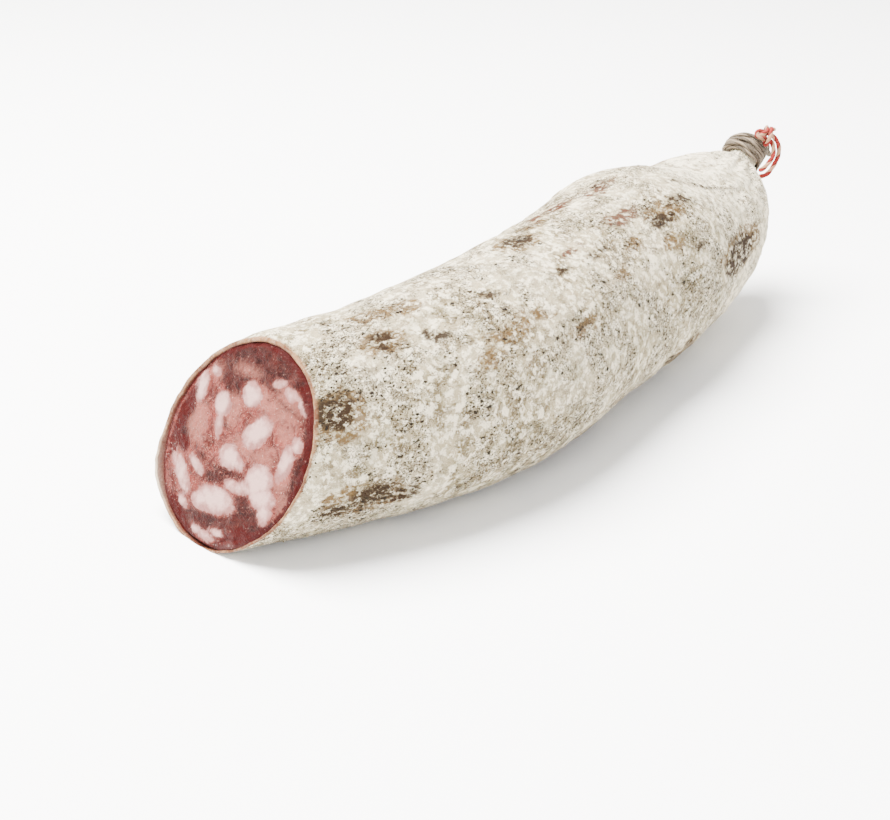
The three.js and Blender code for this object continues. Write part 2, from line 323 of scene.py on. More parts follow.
def twine_skin(route, thickness, plies, lay, seed):
    """A twisted twine along a route: points, faces, how far each point is out of the groove between the
    plies, which ply it is on, and UV in cm and turns."""
    centre, ahead, length = even_route(route, TWINE_STEP)
    across = np.zeros_like(centre)
    across[0] = unit(np.cross(ahead[0], [0.3, 0.2, 1.0]))
    for k in range(1, len(centre)):
        across[k] = unit(across[k - 1] - ahead[k] * (across[k - 1] @ ahead[k]))
    other = np.cross(ahead, across)
    turn = round_the_circle(TWINE_AROUND)
    phase = plies * (turn[None, :] - (2 * np.pi * length / lay)[:, None]) / 2
    lobe = np.abs(np.cos(phase))
    uneven = lattice_noise(centre, 1.7, seed)[:, None] * 0.03
    beside = centre[:, None] + 3 * np.cos(turn)[None, :, None] * across[:, None]
    fray = lattice_noise(beside, 0.35, seed + 1) * 0.02
    to_end = np.clip(np.minimum(length, length[-1] - length) / (thickness * END_ROUNDING), 0, 1)
    rounding = np.sqrt(np.clip(1 - (1 - to_end) ** 2, 0.05, 1))[:, None]
    radius = thickness / 2 * (GROOVE_RADIUS + PLY_BULGE * lobe**0.8 + uneven + fray) * rounding
    ring = (
        centre[:, None]
        + across[:, None] * (radius * np.cos(turn))[..., None]
        + other[:, None] * (radius * np.sin(turn))[..., None]
    )
    points, faces = closed_tube(ring, centre[0] - ahead[0] * END_POLE, centre[-1] + ahead[-1] * END_POLE)
    groove = np.r_[lobe.ravel(), 1, 1]
    shown_ply = np.r_[np.cos(phase).ravel(), 1, 1]
    uv = np.stack([
        np.r_[np.repeat(length / 10, TWINE_AROUND), 0, length[-1] / 10],
        np.r_[np.tile(turn / (2 * np.pi), len(length)), 0, 0],
    ], -1)
    return points, faces, groove, shown_ply, uv


# ---------------- node trees


def fill_in(tree, node, values):
    """Links or sets a node's inputs, by name or number. A colour of three parts gets an alpha of 1."""
    for key, value in values.items():
        socket = node.inputs[key]
        if isinstance(value, bpy.types.NodeSocket):
            tree.links.new(value, socket)
        else:
            socket.default_value = (*value, 1.0) if socket.type == "RGBA" else value


class Tree:
    """A node tree with short ways to add what the materials and groups are made of."""

    def __init__(self, tree):
        self.tree = tree

    def put(self, kind, inputs=None, **settings):
        """A node with its settings, and its inputs set or linked by name or number."""
        node = self.tree.nodes.new(kind)
        for key, value in settings.items():
            setattr(node, key, value)
        fill_in(self.tree, node, inputs or {})
        return node

    def maths(self, operation, a, b=0.0):
        return self.put("ShaderNodeMath", {0: a, 1: b}, operation=operation).outputs[0]

    def add(self, a, b):
        return self.maths("ADD", a, b)

    def sub(self, a, b):
        return self.maths("SUBTRACT", a, b)

    def mul(self, a, b):
        return self.maths("MULTIPLY", a, b)

    def off_middle(self, value):
        """How far a noise is from its middle, which is near 0 along thin, curly lines."""
        return self.maths("ABSOLUTE", self.sub(value, 0.5))

    def ramp(self, value, low, high, to_low=0.0, to_high=1.0):
        inputs = {"Value": value, "From Min": low, "From Max": high, "To Min": to_low, "To Max": to_high}
        return self.put("ShaderNodeMapRange", inputs, interpolation_type="SMOOTHSTEP").outputs[0]

    def mix(self, factor, a, b):
        return self.put("ShaderNodeMix", {0: factor, 6: a, 7: b}, data_type="RGBA").outputs[2]

    def coat(self, base, *layers):
        """Lays colours over a base one after another, each given as (mask, colour)."""
        for mask, colour in layers:
            base = self.mix(mask, base, colour)
        return base

    def noise(self, vector, scale, detail=3.0, roughness=0.55, distortion=0.0):
        inputs = {"Vector": vector, "Scale": scale, "Detail": detail, "Roughness": roughness,
                  "Distortion": distortion}
        return self.put("ShaderNodeTexNoise", inputs).outputs[0]

    def field(self, name):
        return self.put("ShaderNodeAttribute", attribute_name=name).outputs["Fac"]

    def stretch(self, vector, factors):
        return self.put("ShaderNodeVectorMath", {0: vector, 1: factors}, operation="MULTIPLY").outputs[0]

    def millimetres(self):
        """Object coordinates in mm."""
        place = self.put("ShaderNodeTexCoord").outputs["Object"]
        return self.stretch(place, (1 / MM, 1 / MM, 1 / MM))

    def shared(self, name, **inputs):
        """A node of a shared group, which is made when it is first needed."""
        group = bpy.data.node_groups.get(name) or GROUP_MAKERS[name]()
        node = self.put("ShaderNodeGroup", node_tree=group)
        fill_in(self.tree, node, inputs)
        return node

    def fuzzy(self, depth, position, wander, grain, softness):
        return self.shared("Fuzzy Edge", Depth=depth, Position=position, Wander=wander, Grain=grain,
                           Softness=softness).outputs[0]

    def specks(self, position, cells, size, share):
        return self.shared("Specks", Position=position, Cells=cells, Size=size, Share=share).outputs[0]

    def bump(self, height, distance, strength=1.0, **under):
        inputs = {"Height": height, "Distance": distance, "Strength": strength, **under}
        return self.put("ShaderNodeBump", inputs).outputs[0]


def new_group(name, inputs, outputs, kind="ShaderNodeTree"):
    """A node group's tree, input sockets and output node, from inputs of (name, type, default)."""
    group = bpy.data.node_groups.new(name, kind)
    for label, socket, default in inputs:
        made = group.interface.new_socket(name=label, in_out="INPUT", socket_type="NodeSocket" + socket)
        if default is not None:
            made.default_value = default
    for label, socket in outputs:
        group.interface.new_socket(name=label, in_out="OUTPUT", socket_type="NodeSocket" + socket)
    return Tree(group), group.nodes.new("NodeGroupInput").outputs, group.nodes.new("NodeGroupOutput")


def fuzzy_edge_group():
    """Turns a depth in mm into a mask whose edge wanders and frays."""
    t, given, result = new_group(
        "Fuzzy Edge",
        [("Depth", "Float", 0.0), ("Position", "Vector", None), ("Wander", "Float", 1.0),
         ("Grain", "Float", 1.0), ("Softness", "Float", 0.5)],
        [("Mask", "Float")],
    )
    wave = t.noise(given["Position"], given["Grain"], 4.0, 0.66, 0.9)
    shift = t.mul(t.sub(wave, 0.5), t.mul(given["Wander"], 2.0))
    half = [t.mul(given["Softness"], sign * 0.5) for sign in (-1, 1)]
    fill_in(t.tree, result, {"Mask": t.ramp(t.add(given["Depth"], shift), *half)})
    return t.tree


def speck_group():
    """Scattered specks: a mask that is 1 inside a share of the cells' middles, of uneven size and outline."""
    t, given, result = new_group(
        "Specks",
        [("Position", "Vector", None), ("Cells", "Float", 1.0), ("Size", "Float", 0.3),
         ("Share", "Float", 0.5)],
        [("Mask", "Float")],
    )
    cells = t.put("ShaderNodeTexVoronoi", {"Vector": given["Position"], "Scale": given["Cells"]})
    chance = t.put("ShaderNodeSeparateColor", {0: cells.outputs["Color"]}).outputs
    rough = t.noise(given["Position"], t.mul(given["Cells"], 2.6), 2.0)
    edge = t.mul(given["Size"], t.add(chance[1], 0.35))
    reach = t.add(cells.outputs["Distance"], t.mul(t.sub(rough, 0.5), 0.95))
    inside = t.ramp(reach, edge, t.mul(edge, 0.55))
    kept = t.maths("LESS_THAN", chance[0], given["Share"])
    fill_in(t.tree, result, {"Mask": t.mul(inside, kept)})
    return t.tree


def strands_group():
    """Fine fibres that run along a twisted twine: a value for colour and one for height."""
    t, given, result = new_group(
        "Strands",
        [("UV", "Vector", None), ("Position", "Vector", None), ("Groove", "Float", 1.0)],
        [("Fibre", "Float"), ("Height", "Float")],
    )
    lines = t.noise(t.stretch(given["UV"], (18.0, 26.0, 1.0)), 1.0, 3.0, 0.6)
    fluff = t.noise(given["Position"], 5.0, 2.0)
    fibre = t.add(t.mul(lines, 0.7), t.mul(fluff, 0.3))
    height = t.add(t.mul(given["Groove"], 0.5), t.mul(fibre, 0.5))
    fill_in(t.tree, result, {"Fibre": fibre, "Height": height})
    return t.tree


GROUP_MAKERS = {"Fuzzy Edge": fuzzy_edge_group, "Specks": speck_group, "Strands": strands_group}


def new_material(name):
    """A material, its tree and its shader, which is linked to the output."""
    material = bpy.data.materials.new(name)
    material.use_nodes = True
    material.node_tree.nodes.clear()
    t = Tree(material.node_tree)
    shader = t.put("ShaderNodeBsdfPrincipled")
    t.put("ShaderNodeOutputMaterial", {"Surface": shader.outputs[0]})
    return material, t, shader


# ---------------- materials


def skin_material(mould_tone):
    """White mould over a natural casing: ivory and white powder, brown and olive patches, dark specks."""
    material, t, shader = new_material("mouldy_casing")
    place = t.millimetres()
    strokes = t.stretch(place, (0.75, 1.15, 1.15))
    mottle = t.noise(place, 0.21, 5.0, 0.65)
    grain = t.noise(place, 1.3, 4.0, 0.7)
    flakes = t.noise(place, 0.50, 5.0, 0.72)
    busy = t.field("busy")

    # the mould: a thin brownish ground, thicker flakes, light threads and powder
    streaks = t.noise(strokes, 0.32, 4.0, 0.65)
    threads = t.ramp(t.off_middle(t.noise(strokes, 0.62, 2.0, 0.5, 1.6)), 0.028, 0.004)
    powder = t.specks(place, 1.7, 0.42, t.ramp(mottle, 0.42, 0.62, 0.05, 0.60))
    base = t.coat(
        t.mix(t.ramp(mottle, 0.40, 0.54), (0.122, 0.091, 0.047), (0.335, 0.278, 0.168)),
        (t.ramp(t.noise(place, 0.045), 0.44, 0.60, 0.0, 0.45), (0.50, 0.43, 0.295)),
        (t.ramp(flakes, 0.49, 0.56, 0.0, 0.76), mould_tone),
        (t.ramp(streaks, 0.43, 0.34, 0.0, 0.50), (0.125, 0.092, 0.052)),
        (t.mul(t.ramp(busy, 1.0, 0.35), t.ramp(flakes, 0.42, 0.52, 0.2, 0.75)), mould_tone),
        (t.ramp(t.noise(place, 0.12, 4.0, 0.6), 0.52, 0.64, 0.0, 0.42), (0.135, 0.115, 0.058)),
        (t.mul(threads, 0.45), (0.70, 0.62, 0.455)),
        (t.mul(powder, 0.35), (0.77, 0.69, 0.53)),
    )

    # the stains, each with a wandering edge and worn through in places
    patchy = t.ramp(t.noise(strokes, 0.62, 5.0, 0.75), 0.40, 0.53, 0.12, 1.0)
    for name, colour, strength, wander in (
        ("olive", (0.084, 0.042, 0.0085), 0.90, 3.6),
        ("brown", (0.0165, 0.0074, 0.0022), 0.97, 3.2),
        ("red", (0.062, 0.0185, 0.0085), 0.94, 3.4),
    ):
        mask = t.fuzzy(t.field(name), strokes, wander, 0.30, 1.6)
        base = t.mix(t.mul(t.mul(mask, patchy), strength), base, colour)

    # dark scratches and three sizes of specks, thick where the skin is busy
    crowd = t.ramp(t.noise(place, 0.085, 4.0), 0.42, 0.62)
    dark_share = t.mul(crowd, busy)
    scratches = t.ramp(t.off_middle(t.noise(strokes, 0.85, 3.0, 0.6, 1.1)), 0.042, 0.010)
    scratches = t.mul(scratches, t.ramp(dark_share, 0.04, 0.40))
    dust, fine, coarse = (
        t.specks(vector, cells, size, t.mul(dark_share, share)) for vector, cells, size, share in (
            (place, 2.0, 0.46, 1.1), (strokes, 1.15, 0.40, 0.90), (strokes, 0.60, 0.33, 0.56)))
    base = t.coat(
        base,
        (t.mul(scratches, 0.90), (0.030, 0.020, 0.010)),
        (t.mul(dust, 0.80), (0.026, 0.0165, 0.0085)),
        (t.mul(fine, 0.95), (0.009, 0.006, 0.0035)),
        (t.mul(coarse, 0.96), (0.008, 0.005, 0.003)),
    )

    # the bare skin at the cut, and the red inside
    rim = t.ramp(t.add(t.field("behind_cut"), t.mul(grain, 0.9)), 1.25, 0.35)
    rim_tone = t.ramp(t.noise(place, 0.16), 0.38, 0.62)
    rim_colour = t.mix(rim_tone, (0.110, 0.036, 0.013), (0.230, 0.112, 0.048))
    rim_colour = t.mix(t.field("fold"), rim_colour, (0.46, 0.36, 0.26))
    base = t.coat(base, (rim, rim_colour), (t.ramp(t.field("inside"), 0.45, 0.95), (0.055, 0.008, 0.004)))

    relief = t.add(t.mul(mottle, 0.6), t.mul(flakes, 0.6))
    crumbs = t.sub(t.add(t.mul(grain, 0.8), t.mul(powder, 0.35)), t.mul(fine, 0.35))
    fill_in(t.tree, shader, {
        "Base Color": base,
        "Roughness": t.ramp(rim, 0.0, 1.0, 0.92, 0.48),
        "Specular IOR Level": 0.12,
        "Subsurface Weight": 0.06,
        "Subsurface Radius": (1.0, 0.6, 0.4),
        "Subsurface Scale": 0.0012,
        "Normal": t.bump(crumbs, 0.00075, Normal=t.bump(relief, 0.0023)),
    })
    return material


def meat_material(lean_tone, fat_tone):
    """The cut face: rosy lean with a fibrous grain, whitish fat, a dark red ring next to the casing."""
    material, t, shader = new_material("cured_meat")
    place = t.millimetres()
    bend = t.put("ShaderNodeTexNoise", {"Vector": place, "Scale": 0.16, "Detail": 2.0})
    pull = t.stretch(bend.outputs["Color"], (7.0, 7.0, 7.0))
    warped = t.put("ShaderNodeVectorMath", {0: place, 1: pull}, operation="ADD").outputs[0]
    fibres = t.noise(t.stretch(warped, (0.55, 0.42, 1.35)), 1.15, 4.0, 0.62)
    clumps = t.noise(warped, 0.24, 4.0, 0.6)
    fine = t.noise(place, 2.1, 3.0, 0.7)
    dark = t.field("dark")

    def away_from_dark(start, outside, inside):
        return t.ramp(dark, start, 1.0, outside, inside)

    # the lean: light and deep clumps, pale veins and threads, dark creases and seams
    deep = t.mix(t.ramp(clumps, 0.38, 0.64), (0.0080, 0.0010, 0.0008), (0.026, 0.0046, 0.0033))
    veins = t.mul(t.ramp(fibres, 0.52, 0.72, 0.0, 0.62), away_from_dark(0.2, 1.0, 0.13))
    squiggles = t.ramp(t.off_middle(t.noise(warped, 0.80, 2.0, 0.5, 2.0)), 0.030, 0.005)
    creases = t.off_middle(t.noise(warped, 0.48, 3.0, 0.55, 1.5))
    cells = t.put("ShaderNodeTexVoronoi", {"Vector": warped, "Scale": 0.17}, feature="DISTANCE_TO_EDGE")
    seams = t.add(cells.outputs[0], t.mul(clumps, 0.14))
    pale = t.fuzzy(t.field("pale"), warped, 2.8, 0.42, 3.2)
    lean = t.coat(
        t.mix(t.ramp(clumps, 0.36, 0.62), tuple(0.45 * part for part in lean_tone), lean_tone),
        (t.ramp(t.add(dark, t.mul(fibres, 0.35)), 0.24, 0.86), deep),
        (veins, (0.180, 0.056, 0.042)),
        (t.ramp(fibres, 0.44, 0.30, 0.0, 0.55), (0.020, 0.0030, 0.0024)),
        (t.mul(squiggles, away_from_dark(0.3, 0.55, 0.10)), (0.290, 0.108, 0.082)),
        (t.ramp(creases, 0.030, 0.006, 0.0, 0.62), (0.022, 0.0028, 0.0020)),
        (t.ramp(seams, 0.125, 0.070, 0.0, 0.70), (0.026, 0.0030, 0.0022)),
        (t.mul(pale, 0.62), (0.190, 0.068, 0.051)),
    )

    # the fat, with a soft rosy border, then the red seams, the pits with their painted shade and the painted
    # glints, highlights painted into the colour
    fat_depth = t.field("fat")
    border = t.fuzzy(t.add(fat_depth, 0.5), warped, 1.5, 0.34, 1.5)
    fat = t.fuzzy(t.add(fat_depth, 0.25), warped, 1.6, 0.30, 0.75)
    core = t.add(fat_depth, t.mul(t.sub(t.noise(place, 0.42, 4.0), 0.5), 5.0))
    fat_colour = t.mix(t.ramp(core, -0.4, 2.0), (0.190, 0.086, 0.076), fat_tone)
    red = t.fuzzy(t.add(t.field("red"), 0.85), place, 1.7, 0.45, 0.9)
    # small pits in the cut face, sunk by the bump and darkened with painted shade
    shaded_pits = t.specks(place, 0.42, 0.24, 0.30)
    # painted highlight: small glints of reflected light painted into the face's colour, fewer in the dark
    # zones
    painted_glints = t.specks(place, 1.5, 0.24, 0.34)
    base = t.coat(
        lean,
        (t.mul(border, 0.45), (0.165, 0.044, 0.033)),
        (t.mul(fat, 0.95), fat_colour),
        (t.mul(red, 0.93), (0.024, 0.0010, 0.0006)),
        # painted shade: the small pits are darkened as shade inside them
        (t.mul(shaded_pits, t.mul(t.sub(1.0, fat), 0.55)), (0.020, 0.0038, 0.003)),
        (t.mul(painted_glints, away_from_dark(0.2, 0.40, 0.16)), (0.42, 0.24, 0.20)),
    )

    coarse = t.sub(t.mul(fibres, 0.9), t.mul(shaded_pits, 0.5))
    relief = t.bump(t.mul(coarse, t.ramp(fat, 0.0, 1.0, 1.0, 0.3)), 0.0006, 0.8)
    fill_in(t.tree, shader, {
        "Base Color": base,
        "Roughness": t.ramp(fine, 0.3, 0.7, 0.34, 0.52),
        "Subsurface Weight": 0.03,
        "Subsurface Radius": (1.0, 0.35, 0.25),
        "Subsurface Scale": 0.0016,
        "Specular IOR Level": 0.05,
        "Normal": t.bump(fine, 0.00022, 0.7, Normal=relief),
    })
    return material


def twine_material(name, colours, fibre_tone, red_share):
    """Twisted twine: one colour on some plies and another on the rest, with fine fibres and painted shade in
    the grooves between the plies.
    """
    material, t, shader = new_material(name)
    place = t.millimetres()
    groove = t.field("groove")
    uv = t.put("ShaderNodeUVMap", uv_map="UVMap").outputs[0]
    strands = t.shared("Strands", UV=uv, Position=place, Groove=groove).outputs
    worn = t.add(t.field("ply"), t.mul(t.sub(t.noise(place, 0.5), 0.5), 0.6))
    base = t.coat(
        t.mix(t.ramp(worn, red_share - 0.12, red_share + 0.12), *colours),
        (t.ramp(strands["Fibre"], 0.46, 0.66, 0.0, 0.42), fibre_tone),
        # painted shade: the grooves between the plies are darkened in the colour
        (t.ramp(groove, 0.42, 0.05, 0.0, 0.75), tuple(0.28 * part for part in colours[0])),
        (t.ramp(t.noise(place, 0.25), 0.5, 0.75, 0.0, 0.35), (0.10, 0.070, 0.045)),
    )
    fill_in(t.tree, shader, {
        "Base Color": base, "Roughness": 0.82, "Specular IOR Level": 0.1,
        "Normal": t.bump(strands["Height"], 0.00022, 0.9)})
    return material


def powder_material():
    """Crumbs of dry mould: off-white, a little warmer and greyer from one to the next."""
    material, t, shader = new_material("bloom_powder")
    place = t.millimetres()
    tone = t.ramp(t.noise(place, 0.5, 4.0, 0.7), 0.35, 0.65)
    fill_in(t.tree, shader, {
        "Base Color": t.mix(tone, (0.34, 0.275, 0.185), (0.84, 0.755, 0.58)), "Roughness": 0.95,
        "Normal": t.bump(t.noise(place, 4.0), 0.0001)})
    return material


def floor_material():
    """A pale, matt studio ground."""
    material, t, shader = new_material("studio_floor")
    place = t.put("ShaderNodeTexCoord").outputs["Object"]
    tone = t.ramp(t.noise(place, 3.0, 2.0), 0.3, 0.7)
    fill_in(t.tree, shader, {
        "Base Color": t.mix(tone, (0.93, 0.93, 0.93), (0.95, 0.95, 0.95)), "Roughness": 0.75})
    return material


# ---------------- the twines' routes


NECK_FRAME = [part[0] for part in section(np.array([NECK_START]))]


def neck_point(angle, radius, past):
    """A point round the neck, at an angle in degrees, a radius and a distance past the neck's start."""
    middle, ahead, side, upper = NECK_FRAME
    angle = np.radians(np.asarray(angle, float))[..., None]
    radius, past = np.asarray(radius, float)[..., None], np.asarray(past, float)[..., None]
    return middle + side * radius * np.cos(angle) + upper * radius * np.sin(angle) + ahead * past


SPREAD_ANGLE = 205.0
LOW_ANGLE = 85.0
LOW_HALF_WIDTH = 40.0
LOW_RAMP = 60.0
STRAY_PAST = 0.4
STRAY_RADIUS = 0.7
BINDING_RADIUS = NECK_RADIUS + BINDING_CLEARANCE + BINDING_TWINE / 2
BINDING_DROP = BINDING_START - BINDING_TWINE / 2 - BINDING_CLEARANCE


def binding_route(samples=2400):
    """The binding's turns: side by side where they spread, piled in pairs opposite, with a loose end."""
    turn_length = 2 * math.pi * BINDING_RADIUS
    turns = np.linspace(0, 1, samples) * (BINDING_TURNS + BINDING_STRAY_END / turn_length)
    count = np.minimum(np.floor(turns), BINDING_TURNS - 1)
    part = turns - count
    stray = np.maximum(0, part - 1) * turn_length
    pile = math.pi / 2 * (1 - np.cos(2 * math.pi * np.minimum(part, 1))) / 2
    row = np.floor(count / 2) * BINDING_PITCH * (1 + np.cos(pile))
    outer = count % 2
    angle = SPREAD_ANGLE + 360 * part
    from_low = np.abs((angle - LOW_ANGLE + 540) % 360 - 180)
    step = smooth(from_low, LOW_HALF_WIDTH, LOW_HALF_WIDTH + LOW_RAMP)
    past = (
        BINDING_START - BINDING_DROP * (1 - step) + row + outer * BINDING_PITCH * np.cos(pile)
        + BINDING_PITCH * np.minimum(part, 1) + BINDING_PILE_RISE * np.sin(pile) ** 2 + stray * STRAY_PAST
    )
    radius = BINDING_RADIUS + outer * BINDING_PITCH * np.sin(pile) + stray * STRAY_RADIUS
    return neck_point(angle, radius, past)


TO_RIGHT = np.array([0.655, -0.756, 0.0])
TO_UP = np.array([0.321, 0.278, 0.906])
TO_AWAY = np.array([0.684, 0.592, -0.425])
CLEAR_OF_BINDING = BINDING_RADIUS + BINDING_PITCH + BINDING_TWINE / 2 + LOOP_TWINE


def beside_neck(point):
    """A point right of the binding, above the neck and away from the viewer, mm."""
    right, up, away = point
    return NECK_FRAME[0] + TO_RIGHT * (CLEAR_OF_BINDING + right) + TO_UP * up + TO_AWAY * away


ROUND_THE_NECK = (-20.0, -50.0, -80.0, -110.0)
LOOP_POINTS = (
    (-1.7, -3.5, -1.5), (0.4, -2.7, -1.7), (2.7, 0.4, -1.9), (4.0, 3.6, -2.4), (3.8, 6.6, -3.1),
    (2.2, 8.9, -3.9), (0.1, 10.1, -4.4), (-1.8, 10.7, -4.8), (-3.3, 10.3, -5.2), (-3.5, 9.1, -5.5),
    (-2.2, 8.4, -5.6), (-0.3, 7.9, -5.5), (1.1, 7.0, -5.5), (1.8, 5.0, -5.4), (1.6, 2.4, -5.1),
    (0.2, 0.3, -4.7), (-1.3, -1.3, -4.1), (-2.6, -1.9, -3.3),
)
UPPER_LEG = (0.1, 10.1, -4.4)
LOWER_LEG = (-0.3, 7.9, -5.5)
KNOT_START = (-3.0, 8.9, -7.6)
KNOT_FINISH = (3.0, 11.5, -2.8)


def centripetal(points, a_span=24):
    """The CAD's smooth curve through points."""
    points = np.asarray(points, float)
    last = len(points) - 1
    out = []
    for k in range(last):
        p1, p2 = points[k], points[k + 1]
        p0 = points[k - 1] if k else 2 * p1 - p2
        p3 = points[k + 2] if k + 2 <= last else 2 * p2 - p1
        d0, d1, d2 = (max(np.linalg.norm(b - a), 1e-9) ** 0.5 for a, b in ((p0, p1), (p1, p2), (p2, p3)))
        slope1 = ((p1 - p0) / d0 - (p2 - p0) / (d0 + d1) + (p2 - p1) / d1) * d1
        slope2 = ((p2 - p1) / d1 - (p3 - p1) / (d1 + d2) + (p3 - p2) / d2) * d1
        t = np.linspace(0, 1, a_span, endpoint=k == last - 1)[:, None]
        square, cube = -3 * p1 + 3 * p2 - 2 * slope1 - slope2, 2 * p1 - 2 * p2 + slope1 + slope2
        out.append(p1 + slope1 * t + square * t**2 + cube * t**3)
    return np.vstack(out)


def loop_route():
    radius = NECK_RADIUS + LOOP_CLEARANCE + LOOP_TWINE / 2
    past = LOOP_CLEARANCE + LOOP_TWINE / 2
    behind = [neck_point(angle, radius, past) for angle in ROUND_THE_NECK]
    return centripetal(behind + [beside_neck(point) for point in LOOP_POINTS])


def knot_route():
    upper, lower = beside_neck(UPPER_LEG), beside_neck(LOWER_LEG)
    middle, across = (upper + lower) / 2, unit(upper - lower)
    along = TO_RIGHT - KNOT_LEAN * TO_UP
    along = unit(along - across * (along @ across))
    front = np.cross(along, across)
    leg_half = LOOP_TWINE / 2 + KNOT_CLEARANCE + KNOT_TWINE / 2
    half_wide = np.linalg.norm(upper - lower) / 2 + leg_half
    half_deep = leg_half + KNOT_SLACK
    points = [beside_neck(KNOT_START)]
    for k in range(int(KNOT_POINTS_A_TURN * KNOT_TURNS) + 1):
        turns = k / KNOT_POINTS_A_TURN
        angle = math.pi / 2 + 2 * math.pi * turns
        points.append(
            middle - across * half_wide * math.cos(angle) + front * half_deep * math.sin(angle)
            + along * (KNOT_TWINE + KNOT_GAP) * (turns - KNOT_TURNS / 2)
        )
    points.append(beside_neck(KNOT_FINISH))
    return centripetal(points)


# ---------------- settings


class SausageCasingSettings(bpy.types.PropertyGroup):
    pleat_depth: bpy.props.FloatProperty(
        name="Pleat Depth", description="Depth of the pleats where the skin gathers into the neck",
        default=0.00055, unit="LENGTH")
    lump_height: bpy.props.FloatProperty(
        name="Lump Height", description="Height of the broad lumps in the skin", default=0.0006,
        unit="LENGTH")
    wall: bpy.props.FloatProperty(
        name="Wall", description="Mean thickness of the casing at the cut", default=0.00095, unit="LENGTH")
    mould_colour: bpy.props.FloatVectorProperty(
        name="Mould Colour", description="Colour of the thick white mould", default=(0.86, 0.768, 0.57),
        subtype="COLOR", min=0.0, max=1.0)
    crumbs: bpy.props.FloatProperty(
        name="Crumbs", description="Crumbs of dry mould to a square metre of skin", default=90000.0)
    seed: bpy.props.IntProperty(name="Seed", description="Seed of the casing's scattered details", default=7)


class SausageFillingSettings(bpy.types.PropertyGroup):
    fat_height: bpy.props.FloatProperty(
        name="Fat Height", description="How far the lumps of fat stand up from the cut face",
        default=0.00022, unit="LENGTH")
    lean_colour: bpy.props.FloatVectorProperty(
        name="Lean Colour", description="Colour of the lean meat", default=(0.108, 0.0215, 0.0165),
        subtype="COLOR", min=0.0, max=1.0)
    fat_colour: bpy.props.FloatVectorProperty(
        name="Fat Colour", description="Colour of the fat at its whitest", default=(0.36, 0.222, 0.196),
        subtype="COLOR", min=0.0, max=1.0)
    roughness: bpy.props.FloatProperty(
        name="Cut Roughness", description="Unevenness of the lean part of the cut face", default=0.00022,
        unit="LENGTH")


class SausageTwineSettings(bpy.types.PropertyGroup):
    binding_lay: bpy.props.FloatProperty(
        name="Binding Lay", description="Length of one twist of the grey twine", default=0.013, unit="LENGTH")
    loop_lay: bpy.props.FloatProperty(
        name="Loop Lay", description="Length of one twist of the red and white twine", default=0.0062,
        unit="LENGTH")
    red: bpy.props.FloatVectorProperty(
        name="Red", description="Colour of the loop's red strand", default=(0.165, 0.0105, 0.0095),
        subtype="COLOR", min=0.0, max=1.0)
    cream: bpy.props.FloatVectorProperty(
        name="Cream", description="Colour of the loop's pale strand", default=(0.30, 0.165, 0.095),
        subtype="COLOR", min=0.0, max=1.0)
    grey: bpy.props.FloatVectorProperty(
        name="Grey", description="Colour of the binding twine", default=(0.165, 0.127, 0.088),
        subtype="COLOR", min=0.0, max=1.0)
    fibres: bpy.props.FloatProperty(
        name="Fibres", description="Stray fibres to a square metre of twine", default=260000.0)
    seed: bpy.props.IntProperty(name="Seed", description="Seed of the twine's scattered details", default=3)


class SausageStageSettings(bpy.types.PropertyGroup):
    key_power: bpy.props.FloatProperty(
        name="Key Power", description="Power of the main soft light", default=96.0)
    fill_power: bpy.props.FloatProperty(name="Fill Power", description="Power of the fill light", default=9.0)
    surround: bpy.props.FloatProperty(
        name="Surround", description="Strength of the even light from all round", default=1.4)


# ---------------- stage and camera

CAMERA_PLACE = np.array([-254.658, -288.282, 213.011])
CAMERA_AHEAD = unit(np.array([0.6847, 0.5922, -0.4248]))
CAMERA_LENS = 71.17
SENSOR_WIDTH = 36.0


FLOOR_REACH = 4.0
FLOOR_RINGS = 40
FLOOR_AROUND = 96
LIGHT_TARGET = (0.0, 0.0, 0.03)


def add_area_light(name, place, size, power, colour):
    data = bpy.data.lights.new(name, "AREA")
    data.shape = "DISK"
    data.size = size
    data.energy = power
    data.color = colour
    light = linked(name, data)
    light.location = place
    light.rotation_euler = (Vector(LIGHT_TARGET) - Vector(place)).to_track_quat("-Z", "Y").to_euler()


